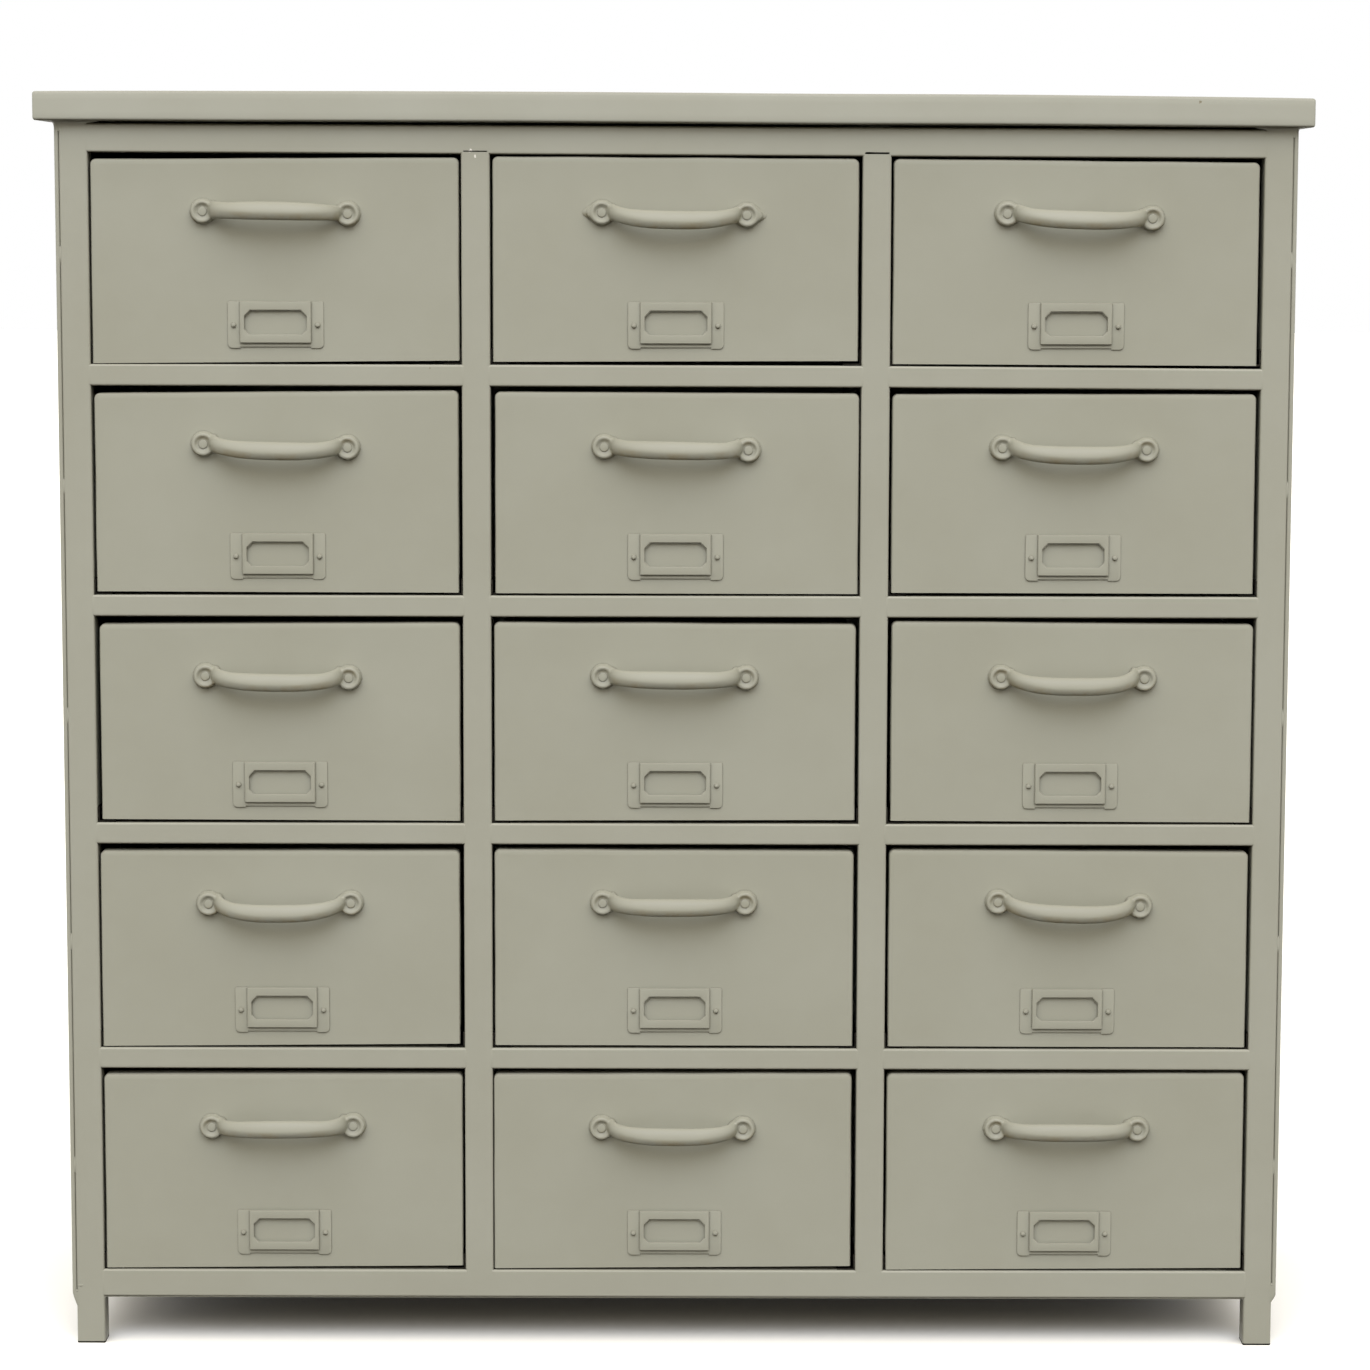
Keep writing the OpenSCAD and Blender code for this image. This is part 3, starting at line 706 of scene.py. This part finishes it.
def eye(side, leaf):
    """Round eye of a pull: a soft foot, a rolled rim and a hollow that slopes in to the screw."""
    rim = (EYE_RADIUS + RECESS_RADIUS) / 2 + EYE_RIM_SHIFT
    roll = EYE_RADIUS - EYE_WAIST - rim
    arc = [math.radians(a) for a in range(0, 121, 20)]
    profile = [(AXIS_GAP, 0)]
    profile += [(EYE_RADIUS + past * MM, out * MM) for past, out in EYE_FOOT]
    profile += [(rim + roll * math.cos(a), EYE_HEIGHT - roll + roll * math.sin(a)) for a in arc]
    profile += [(RECESS_RADIUS, RECESS_FLOOR), (AXIS_GAP, RECESS_FLOOR)]
    segments = 48
    rings = []
    for radius, out in profile:
        ring = []
        for k in range(segments):
            a = 2 * math.pi * k / segments
            r = radius
            if leaf and out < LEAF_HEIGHT:
                # The leaf is a cusp that runs out along the pull's line, low on the eye.
                cusp = max(0.0, math.cos(a) * side) ** LEAF_SHARPNESS
                r += cusp * LEAF_TIP * (radius / EYE_RADIUS) ** 6
            ring.append(Vector((r * math.cos(a), -out, r * math.sin(a))))
        rings.append(ring)
    return loft(rings, capped=True)


def grip(half, drop, shoulders):
    """Bowed bar from root to root, round where it leaves the eyes and ridged in the middle."""

    def middle_line(u):
        """How far along and out from the drawer front the bar's middle is at an angle."""
        along = -half * math.copysign(abs(math.cos(u)) ** GRIP_ALONG, math.cos(u))
        return along, (HANDLE_REACH - GRIP_THICKNESS / 2) * max(0.0, math.sin(u)) ** GRIP_BOW

    steps, sides = 48, 36
    rings = []
    for i in range(steps + 1):
        u = math.pi * i / steps
        swell = math.sin(u) ** 2
        along, reach = middle_line(u)
        sag = drop * math.sin(u) ** GRIP_SAG
        ahead_along, ahead_reach = middle_line(u + 1e-3)
        direction = Vector((ahead_along - along, reach - ahead_reach)).normalized()
        # At its ends the bar comes straight out of the drawer front.
        if i in (0, steps):
            direction = Vector((0, -1 if i == 0 else 1))
        out = Vector((direction.y, -direction.x))
        deep = GRIP_THICKNESS / 2 * (0.85 + 0.15 * swell)
        tall = (GRIP_HALF_HEIGHT + GRIP_SWELL * swell ** 1.5) * MM
        by_the_eye = max(0.0, 1 - (half - abs(along)) / GRIP_SHOULDER_LENGTH)
        shoulder = shoulders[along > 0] * by_the_eye ** 2
        # The front swells to a ridge, above the middle by the eyes and under it in the middle.
        ridge = 0.30 - 0.50 * swell
        fullness = 2 - 0.6 * math.sqrt(swell)
        ring = []
        for k in range(sides):
            a = 2 * math.pi * k / sides
            c, rise = math.cos(a), math.sin(a)
            if c > 0:
                t = (rise - ridge) / (1 - ridge) if rise > ridge else (ridge - rise) / (1 + ridge)
                c = max(0.0, 1 - t ** fullness) ** (1 / 1.8)
            z = tall * rise + shoulder * max(0.0, rise) - sag
            ring.append(Vector((along + out.x * deep * c, -reach + out.y * deep * c, z)))
        rings.append(ring)
    return loft(rings, capped=True)


def head(x, out, radius, height, flat):
    """Low button head whose seat is a distance out from the face."""
    arc = [math.radians(a) for a in range(0, 91, 15)]
    profile = [(AXIS_GAP, 0), (radius, 0)]
    profile += [(radius * (flat + (1 - flat) * math.cos(a)),
                 height * (HEAD_EDGE + (1 - HEAD_EDGE) * math.sin(a))) for a in arc]
    profile += [(AXIS_GAP, height)]
    return moved(lathe([(r, out + h) for r, h in profile], 24), x)


def shank(x, y0, y1, radius, sides=16):
    """Plain closed cylinder along Y."""
    return moved(lathe([(radius, -y0), (radius, -y1)], sides), x)


def add_pull(column, row, material):
    """A drawer's cast bow pull with its screws and nuts."""
    name = f"handle_{column}_{row}"
    drawer_low, drawer_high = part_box(f"drawer_{column}_{row}")
    leaf = (column, row) in LEAF_PULLS
    shift, up, drop, tilt = PULL_FIT[column, row]
    half = HANDLE_SPAN / 2
    seed = Vector((2.3 * row, 5.1 * COLUMNS.index(column), 0.5))
    shoulders = [GRIP_SHOULDER * (1 + SHOULDER_SPREAD * noise.noise(seed + Vector((0, 0, side))))
                 for side in (-1, 1)]
    runs = [grip(half - RECESS_RADIUS - GRIP_ROOT, drop * MM, shoulders)]
    runs += [moved(eye(side, leaf), side * half) for side in (-1, 1)]
    casting = fine(runs, 80, [
        ("REMESH", {"mode": "VOXEL", "voxel_size": CAST_VOXEL, "adaptivity": 0.0}),
        ("SMOOTH", {"factor": 0.5, "iterations": 6}),
        ("DECIMATE", {"ratio": CAST_KEPT_FACES}),
    ])
    for v in casting.vertices:
        v.co.y = min(v.co.y, 0)
    parts = [casting]
    for x in (-half, half):
        parts += [fine([head(x, EYE_FLOOR, HEAD_RADIUS, HEAD_HEIGHT, HEAD_FLAT)], 40),
                  fine([shank(x, -EYE_FLOOR, SCREW_END, SCREW_RADIUS)], 40),
                  fine([shank(x, FRONT_SHEET, NUT_END, NUT_RADIUS, 6)], 30)]
    mesh = joined(parts)
    mesh.transform(Matrix.Rotation(math.radians(-tilt), 4, "Y"))
    centre = Vector(((drawer_low.x + drawer_high.x) / 2 + shift * MM, drawer_low.y,
                     drawer_low.z + HANDLE_HEIGHT + up * MM))
    mesh.transform(Matrix.Translation(centre))
    body = f"drawer_{column}_{row}"
    return add_object(f"cast_{name}", mesh, material, body, [name])


# ---------- label holders

def window_points():
    """The eight corners of the window, from its lower right one upwards and round."""
    w, h, c = WINDOW_WIDTH / 2, WINDOW_HEIGHT / 2, WINDOW_CUT
    low = c * WINDOW_LOW_CUT
    return [(w, -h + low), (w, h - c), (w - c, h), (-w + c, h), (-w, h - c), (-w, -h + low),
            (-w + low, -h), (w - low, -h)]


def raised_frame():
    """Pressed frame round the window, its back open towards the drawer front."""
    w, h = CARD_FRAME_WIDTH / 2, CARD_FRAME_HEIGHT / 2
    inner = window_points()
    # The frame's outer corner beside each corner of the window.
    outer = [(w, -h), (w, h), (w, h), (-w, h), (-w, h), (-w, -h), (-w, -h), (w, -h)]
    front = -LABEL_SHEET - CARD_FRAME_RISE
    lip = front + LABEL_SHEET
    quads = []
    for i in range(8):
        j = (i + 1) % 8
        a, b, c, d = inner[i], inner[j], outer[j], outer[i]
        quads.append([(*a, front), (*b, front), (*c, front), (*d, front)])
        quads.append([(*a, front), (*b, front), (*b, lip), (*a, lip)])
        if c != d:
            # The upper edge is open for a card, so the wall there is a lip.
            back = lip if c[1] == d[1] == h else 0
            quads.append([(*c, front), (*d, front), (*d, back), (*c, back)])
    vertices = [Vector((x, y, z)) for quad in quads for x, z, y in quad]
    return mesh_of(vertices, [tuple(range(k, k + 4)) for k in range(0, len(vertices), 4)])


def wing(side):
    """Flat wing beside the raised frame, with a rounded lower outer corner."""
    inner, outer = CARD_FRAME_WIDTH / 2 - WING_UNDER, LABEL_WIDTH / 2
    top = LABEL_HEIGHT / 2
    r = WING_CORNER
    ring = [(inner, top), (inner, -top)]
    ring += [(outer - r + r * math.sin(a), -top + r - r * math.cos(a))
             for a in np.radians(np.linspace(0, 90, 6))]
    ring += [(outer, top - WING_CHAMFER), (outer - WING_CHAMFER, top)]
    return mesh_of(*prism([(side * x, z) for x, z in ring], 0, -LABEL_SHEET))


def strap():
    """Strip under the raised frame that joins the two wings."""
    w, top = CARD_FRAME_WIDTH / 2, -LABEL_HEIGHT / 2 + STRAP_TOP
    bottom = -LABEL_HEIGHT / 2 + STRAP_BOTTOM
    ring = [(-w, bottom), (w, bottom), (w, top), (-w, top)]
    return mesh_of(*prism(ring, 0, -LABEL_SHEET))


def add_label_holder(column, row, material):
    """A drawer's pressed label holder with its rivets."""
    name = f"label_holder_{column}_{row}"
    body = f"drawer_{column}_{row}"
    low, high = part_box(body)
    pressed = settled(facing(raised_frame(), lambda p: FORWARD), [
        eased(CARD_FRAME_EDGE, 5, 60),
        ("SOLIDIFY", {"thickness": CARD_FRAME_SHEET, "offset": -1}),
    ])
    pressed.transform(Matrix.Translation((0, 0, (LABEL_HEIGHT - CARD_FRAME_HEIGHT) / 2)))
    parts = [pressed]
    parts += [settled(bm, [eased(LABEL_EDGE, 4, 40)]) for bm in (wing(-1), wing(1), strap())]
    shank_end = FRONT_SHEET + RIVET_SHANK_PAST
    for x in (-LABEL_RIVET_SPAN / 2, LABEL_RIVET_SPAN / 2):
        parts += [fine([head(x, LABEL_SHEET, RIVET_RADIUS, RIVET_HEIGHT, RIVET_FLAT)], 40),
                  fine([shank(x, -LABEL_SHEET, shank_end, RIVET_SHANK_RADIUS)], 40)]
    mesh = joined(parts)
    middle = ((low.x + high.x) / 2, low.y, low.z + LABEL_BOTTOM + LABEL_HEIGHT / 2)
    mesh.transform(Matrix.Translation(middle))
    return add_object(f"pressed_{name}", mesh, material, body, [name])


# ---------- frame

def sink(mesh):
    """The frame's upper right corner has sunk a little, which opened the seam under the top."""
    for vertex in mesh.vertices:
        across = np.interp(vertex.co.x, SUNKEN_ACROSS, (0, 1))
        vertex.co.z -= SAG * across * np.interp(vertex.co.z, SUNKEN_RISE, (0, 1))


def add_sunken(name, material):
    """Piece of the frame that follows its CAD node, but for the sunken corner."""
    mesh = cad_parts[name].data.copy()
    sink(mesh)
    return add_object(f"sunken_{name}", mesh, material, "cabinet", [name])


# ---------- top

def top_shift(x):
    """How far the folded top stands over its place, falling from its left end to its right."""
    low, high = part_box("top_panel")
    share = (x - low.x) / (high.x - low.x)
    return TOP_LEFT_RISE * (1 - share) + TOP_RIGHT_RISE * share


def long_ring(x0, x1, y0, y1, radius):
    """Rectangle with rounded corners and many points along its edges."""
    corners = round_rect_ring(x1 - x0, y1 - y0, radius, 4)
    ring = []
    for quarter, pieces in enumerate((40, 14, 40, 14)):
        arc = corners[quarter * 5:quarter * 5 + 5]
        start, end = Vector(arc[-1]), Vector(corners[(quarter * 5 + 5) % 20])
        ring += [Vector(p) for p in arc]
        ring += [start.lerp(end, k / pieces) for k in range(1, pieces)]
    return [p + Vector(((x0 + x1) / 2, (y0 + y1) / 2)) for p in ring]


def add_folded_top(material):
    """Top pan with its edges folded down and in under it, a little wavy and crooked."""
    low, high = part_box("top_panel")
    post_low, post_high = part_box("corner_posts")
    # How far in under the top the lower flange's edge lies: at the sides, the front and the rear.
    seat = (post_low.x - low.x + TOP_SEAT, post_low.y - low.y + TOP_SEAT,
            high.y - post_high.y + TOP_SEAT)
    turn = np.radians(np.linspace(0, 90, 5))
    # How far in each ring lies, its height, and 1 for the flange's edge, which sits lowest.
    profile = [(0, low.z, 1), (TOP_BEND, low.z, 0)]
    profile += [(TOP_BEND * (1 - math.sin(a)), low.z + TOP_BEND * (1 - math.cos(a)), 0)
                for a in turn[1:]]
    profile += [(0, low.z * (1 - share) + high.z * share, 0) for share in (0.3, 0.5, 0.7)]
    profile += [(TOP_BEND * (1 - math.cos(a)), high.z - TOP_BEND * (1 - math.sin(a)), 0)
                for a in turn]
    profile += [(inset, high.z, 0) for inset in TOP_INSETS]
    rings = []
    for inset, z, seated in profile:
        side, front, rear = (inset + seated * s for s in seat)
        ring = long_ring(low.x + side - TOP_LEFT_REACH, high.x - side + TOP_RIGHT_REACH,
                         low.y + front, high.y - rear, max(0.2 * MM, TOP_BEND - inset))
        for k, (x, y) in enumerate(ring):
            where = Vector((x / TOP_WAVE_SIZE, y / TOP_WAVE_SIZE, 4))
            share = (z - low.z) / (high.z - low.z)
            crown = 1 - abs(2 * x / (high.x - low.x)) ** 4
            crown *= TOP_UNDER_CROWN + (TOP_CROWN - TOP_UNDER_CROWN) * share
            lift = top_shift(x) + TOP_WAVE * noise.noise(where) + max(0, crown)
            bow = TOP_WAVE * noise.noise(where + Vector((0, 0, 9)))
            bow *= max(0, 1 - inset / TOP_EDGE_FADE)
            ring[k] = Vector((x, y + bow, z + lift - TOP_DIP * seated))
        rings.append(ring)
    vertices, faces = loft(rings)
    faces.append(tuple(range(len(vertices) - len(rings[0]), len(vertices))))
    middle = (low + high) / 2
    bm = facing(mesh_of(vertices, faces), lambda p: p - middle)
    mesh = settled(bm, [thick(TOP_SHEET)])
    return add_object("folded_top", mesh, material, "cabinet", ["top_panel"])


# ---------- welds

def tube_end_fill(size, matrix):
    """Ground weld that carries a tube's outline on over the next tube's round corner."""
    ring = round_rect_ring(size, size, TUBE_CORNER)
    rings = [[Vector((x, y, z)) for x, y in ring] for z in (0, FILL_LENGTH)]
    vertices, faces = loft(rings, capped=True)
    return [matrix @ v for v in vertices], faces


def add_frame_welds(material):
    """Fills the grooves where rails meet stiles and posts on the front of the frame."""
    low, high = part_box("front_rails")
    stile_low, stile_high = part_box("front_stiles")
    face = stile_low.y
    bays = [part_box(f"drawer_{c}_1") for c in COLUMNS]
    centres = [(a.x + b.x) / 2 for a, b in bays]
    bay_half = (centres[1] - centres[0] - TUBE) / 2
    runner_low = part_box("runners_left")[0].z
    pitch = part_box("drawer_left_1")[0].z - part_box("drawer_left_2")[0].z
    # Each tube's end: its size, its place and the way it points.
    ends = []
    for k in range(1, len(ROWS)):
        z = runner_low + k * pitch - RAIL_TUBE / 2
        ends += [(RAIL_TUBE, centre + side * bay_half, z, (side, 0, 0))
                 for centre in centres for side in (-1, 1)]
    for z in (low.z + TUBE / 2, high.z - TUBE / 2):
        ends += [(TUBE, low.x, z, (-1, 0, 0)), (TUBE, high.x, z, (1, 0, 0))]
    for x in (stile_low.x + TUBE / 2, stile_high.x - TUBE / 2):
        ends += [(TUBE, x, stile_high.z, (0, 0, 1)), (TUBE, x, stile_low.z, (0, 0, -1))]
    runs = []
    for size, x, z, way in ends:
        turn = Vector((0, 0, 1)).rotation_difference(Vector(way)).to_matrix().to_4x4()
        place = Vector((x, face + size / 2, z))
        runs.append(tube_end_fill(size, Matrix.Translation(place) @ turn))
    return add_object("frame_weld_fills", fine(runs, 40), material, "cabinet")


def bead(centre, half_size, seed, segments=12):
    """Small lumpy run of weld under paint: an ellipsoid of half sizes in millimetres."""
    size = Vector(half_size) * MM
    rings = []
    for i in range(segments + 1):
        t = math.pi * i / segments
        ring = []
        for k in range(segments):
            a = 2 * math.pi * k / segments
            p = Vector((math.sin(t) * math.cos(a), math.sin(t) * math.sin(a), math.cos(t)))
            lumps = noise.noise(p * WELD_LUMP_RATE + Vector((seed, 0, 0)))
            way = Vector((p.x * size.x, p.y * size.y, p.z * size.z))
            ring.append(way * (1 + WELD_LUMPS * lumps) + centre)
        rings.append(ring)
    return loft(rings)


def add_hem_tacks(material):
    """Tack welds in the groove between each side panel's hem and its post, one beside each row."""
    runs = []
    for side, panel, *_ in POST_SIDES:
        low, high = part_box(panel)
        groove = high.x if side < 0 else low.x
        for k, row in enumerate(ROWS):
            drawer_low, drawer_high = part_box(f"drawer_left_{row}")
            z = drawer_low.z + (drawer_high.z - drawer_low.z) * TACK_RISE
            centre = Vector((groove, low.y + HEM_NOSE * 0.75, z))
            runs.append(bead(centre, HEM_TACK, side * 3.1 + k))
    return add_object("hem_tack_welds", fine(runs, 60), material, "cabinet")


def hollow(steps=6):
    """Points of a hollow quarter round from (1, 0) to (0, 1)."""
    return [(1 - math.sin(a), 1 - math.cos(a)) for a in np.radians(np.linspace(0, 90, steps + 1))]


def fillet_run(stations):
    """Hollow-faced weld in a corner under an edge. Each station is a point of the corner, the way
    out from the face under it, and how far the weld reaches out and down there."""
    rings = []
    for corner, out, reach, drop in stations:
        out = Vector(out).normalized()
        up = Vector((0, 0, 1))
        ring = [corner - (out - up) * WELD_ROOT, corner + out * reach + up * WELD_ROOT]
        ring += [corner + out * reach * u - up * drop * v for u, v in hollow()]
        ring.append(corner - out * WELD_ROOT - up * drop)
        rings.append(ring)
    return loft(rings, capped=True)


def hem_end(seam, low, end, groove, width, face):
    """Weld that fills the seam's lower end and runs the side panel's end out onto the leg."""
    root = -math.copysign(HEM_ROOT, width)
    rings = []
    for z, share in ((seam, 0.93), (low, 1.0), ((low + end) / 2, 0.6), (end, 0.04)):
        t = width * share
        section = [(root, -HEM_PROUD), (0.5 * t, -HEM_PROUD), (0.85 * t, HEM_EDGE[0]),
                   (t, HEM_EDGE[1]), (t, HEM_WIDTH), (root, HEM_WIDTH)]
        rings.append([Vector((groove + x, face + y, z)) for x, y in section])
    return loft(rings, capped=True)


def foot_weld(x, side, low, face):
    """Weld in the corner between a post's inner side and the rail over the foot."""
    corner = [(x + side * WELD_ROOT, low + WELD_ROOT)]
    corner += [(x - side * FOOT_WELD * u, low - FOOT_WELD * v) for u, v in hollow()]
    return prism(corner, face + TUBE_CORNER, face + TUBE - TUBE_CORNER)


def add_corner_welds(material):
    """The front posts' welds: under the top, at the hems' ends and in the feet's corners."""
    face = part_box("front_stiles")[0].y
    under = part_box("top_panel")[0].z
    rail_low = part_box("front_rails")[0].z
    runs = []
    for side, panel, deep, seam, end in POST_SIDES:
        low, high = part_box(panel)
        outer, groove = (low.x, high.x) if side < 0 else (high.x, low.x)
        inner = groove - side * TUBE
        starts = {"inner": inner, "groove": groove, "outer": outer}
        stations = []
        for start, out, back, aside, ahead, reach, drop in TOP_WELD:
            x = starts[start] + side * out * MM
            corner = Vector((x, face + back * MM, under + top_shift(x)))
            stations.append((corner, (side * aside, ahead, 0), reach * MM, (drop or deep) * MM))
        runs.append(fillet_run(stations))
        runs.append(hem_end(seam * MM, low.z, end * MM, groove, outer - groove, face))
        runs.append(bead(Vector((groove, face + 0.3 * MM, seam * MM)), SEAM_BEAD, side))
        runs.append(foot_weld(inner, side, rail_low, face))
    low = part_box("side_panel_left")[0]
    runs.append(bead(Vector((low.x + 7.5 * MM, face, low.z + 7 * MM)), SPATTER, 2.2))
    return add_object("corner_welds", fine(runs, 50), material, "cabinet")


# ---------- the stage

CAMERA_DISTANCE = 3.5153
CAMERA_HEIGHT = 1.0151
CAMERA_SIDE = 0.0086
CAMERA_PITCH = math.radians(6.765)
CAMERA_ROLL = math.radians(0.123)
LENS = 105.26
SENSOR = 36

WHITE = (1, 1, 1, 1)
FLOOR_SIZE = 60
FLOOR_WHITE = (0.95, 0.95, 0.95, 1)
FLOOR_BOUNCE = (0.030, 0.022, 0.012, 1)
# The light's colours at the edge and in the middle of the patch in front.
LIGHT_RIM = (1.14, 0.97, 0.62, 1)
LIGHT_CORE = (0.97, 1.0, 1.06, 1)
# The patch's strength, the sine of its height over the floor, and its half height and width.
LIGHT = 5.55
LIGHT_RISE = 0.67
LIGHT_HEIGHT = 0.23
LIGHT_WIDTH = 0.48
# The same for the band behind, its strength as a share of the patch's.
BACK_LIGHT = 0.42
BACK_RISE = 0.3
BACK_HEIGHT = 0.2
# The patch gives way to the band between these, as sines of the angle towards the back.
BACK_TURN = (-0.05, 0.25)
HORIZON = 0.02


def add_camera():
    """The photo's view."""
    data = bpy.data.cameras.new("camera")
    data.lens = LENS
    data.sensor_width = SENSOR
    camera = bpy.data.objects.new("camera", data)
    bpy.context.scene.collection.objects.link(camera)
    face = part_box("front_stiles")[0].y
    place = Matrix.Translation((CAMERA_SIDE, face - CAMERA_DISTANCE, CAMERA_HEIGHT))
    pitch = Matrix.Rotation(math.pi / 2 - CAMERA_PITCH, 4, "X")
    camera.matrix_world = place @ (pitch @ Matrix.Rotation(CAMERA_ROLL, 4, "Z"))
    bpy.context.scene.camera = camera


def seen_rays(tree):
    """1 for rays from the camera and for reflected and refracted ones, 0 for diffuse ones."""
    path = node(tree, "ShaderNodeLightPath").outputs
    seen = maths(tree, "MAXIMUM", path["Is Camera Ray"], path["Is Glossy Ray"])
    return maths(tree, "MAXIMUM", seen, path["Is Transmission Ray"])


def add_floor():
    """White floor that shows the cabinet's shadow and throws little light back."""
    bm = bmesh.new()
    bmesh.ops.create_grid(bm, x_segments=1, y_segments=1, size=FLOOR_SIZE / 2)
    mesh = bpy.data.meshes.new("floor")
    bm.to_mesh(mesh)
    bm.free()
    floor = bpy.data.objects.new("floor", mesh)
    bpy.context.scene.collection.objects.link(floor)
    material = bpy.data.materials.new("floor")
    tree = cleared(material)
    colour = mixed(tree, seen_rays(tree), FLOOR_BOUNCE, FLOOR_WHITE)
    shader = node(tree, "ShaderNodeBsdfDiffuse", Color=colour)
    node(tree, "ShaderNodeOutputMaterial", Surface=shader.outputs[0])
    mesh.materials.append(material)


def square_gap(tree, value, centre, width):
    """Square of a value's distance from a centre, in widths."""
    gap = maths(tree, "MULTIPLY_ADD", value, 1 / width, -centre / width)
    return maths(tree, "MULTIPLY", gap, gap)


def bell(tree, square):
    """Bell curve of a squared distance."""
    return maths(tree, "EXPONENT", maths(tree, "MULTIPLY", square, -0.5))


def add_sky():
    """White surroundings, whose light is a soft patch in front, halfway up, and a weaker and
    lower band round the back, with none from straight above."""
    world = bpy.data.worlds.new("world")
    bpy.context.scene.world = world
    tree = cleared(world)
    way = node(tree, "ShaderNodeTexCoord").outputs["Generated"]
    across, behind, rise = node(tree, "ShaderNodeSeparateXYZ", Vector=way).outputs
    front = bell(tree, maths(tree, "ADD", square_gap(tree, rise, LIGHT_RISE, LIGHT_HEIGHT),
                             square_gap(tree, across, 0, LIGHT_WIDTH)))
    back = bell(tree, square_gap(tree, rise, BACK_RISE, BACK_HEIGHT))
    back = maths(tree, "MULTIPLY", back, BACK_LIGHT)
    turn = spread(tree, behind, *BACK_TURN)
    sky = maths(tree, "MULTIPLY_ADD", turn, maths(tree, "SUBTRACT", back, front), front)
    sky = maths(tree, "MULTIPLY", sky, spread(tree, rise, 0, HORIZON, 0, LIGHT))
    lit = maths(tree, "SUBTRACT", 1.0, seen_rays(tree))
    strength = maths(tree, "MULTIPLY_ADD", lit, maths(tree, "SUBTRACT", sky, 1.0), 1.0)
    tint = mixed(tree, spread(tree, front, 0.0, 0.9), LIGHT_RIM, LIGHT_CORE)
    tint = mixed(tree, turn, tint, WHITE)
    tint = mixed(tree, lit, WHITE, tint)
    backdrop = node(tree, "ShaderNodeBackground", Color=tint, Strength=strength)
    node(tree, "ShaderNodeOutputWorld", Surface=backdrop.outputs[0])


# ---------- assembly

# The frame's and the top's paints are lighter, bluer copies of the drawers' paint: painted light,
# for the brighter light and bluish sheen on the frame and the top's edge.
frame_paint = paint("frame_paint", tone=(1.035, 1.035, 1.05), up_shade=0.12, chips=0.4,
                    chip_highlights=CHIP_HIGHLIGHTS_FRAME, scars=SCARRED_FRAME)
top_paint = paint("top_paint", roughness=0.5, tone=(1.14, 1.15, 1.20), up_shade=0.35,
                  scars=SCARRED_TOP)
drawer_paint = paint("drawer_paint", up_shade=0.35, scars=SCARRED_DRAWERS)
cast_paint = paint("cast_paint", roughness=0.38, under_tint=0.9, up_shade=0.2, down_shade=0.2)
# What isn't painted, by the first word of the nodes' names.
unpainted = {
    "foot": dull("foot_plastic", (0.012, 0.012, 0.012, 1), (0.07, 0.066, 0.058, 1), 0.6),
    # The runners are dark partly as greased steel and partly as painted shade, standing in for the
    # shade in the gaps round the drawers.
    "runners": dull("greased_steel_and_shade", (0.035, 0.032, 0.028, 1), (0.10, 0.09, 0.075, 1), 0.45),
}

for name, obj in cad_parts.items():
    obj.data.materials.clear()
    obj.data.materials.append(unpainted.get(name.split("_")[0], frame_paint))

add_folded_top(top_paint)
for column in COLUMNS:
    for row in ROWS:
        add_drawer(column, row, drawer_paint)
        add_pull(column, row, cast_paint)
        add_label_holder(column, row, drawer_paint)
for name, slot in SUNKEN.items():
    add_sunken(name, frame_paint)
for obj in (add_frame_welds(frame_paint), add_hem_tacks(frame_paint)):
    sink(obj.data)
add_corner_welds(frame_paint)

add_camera()
add_floor()
add_sky()

bpy.context.scene.view_settings.view_transform = "Standard"
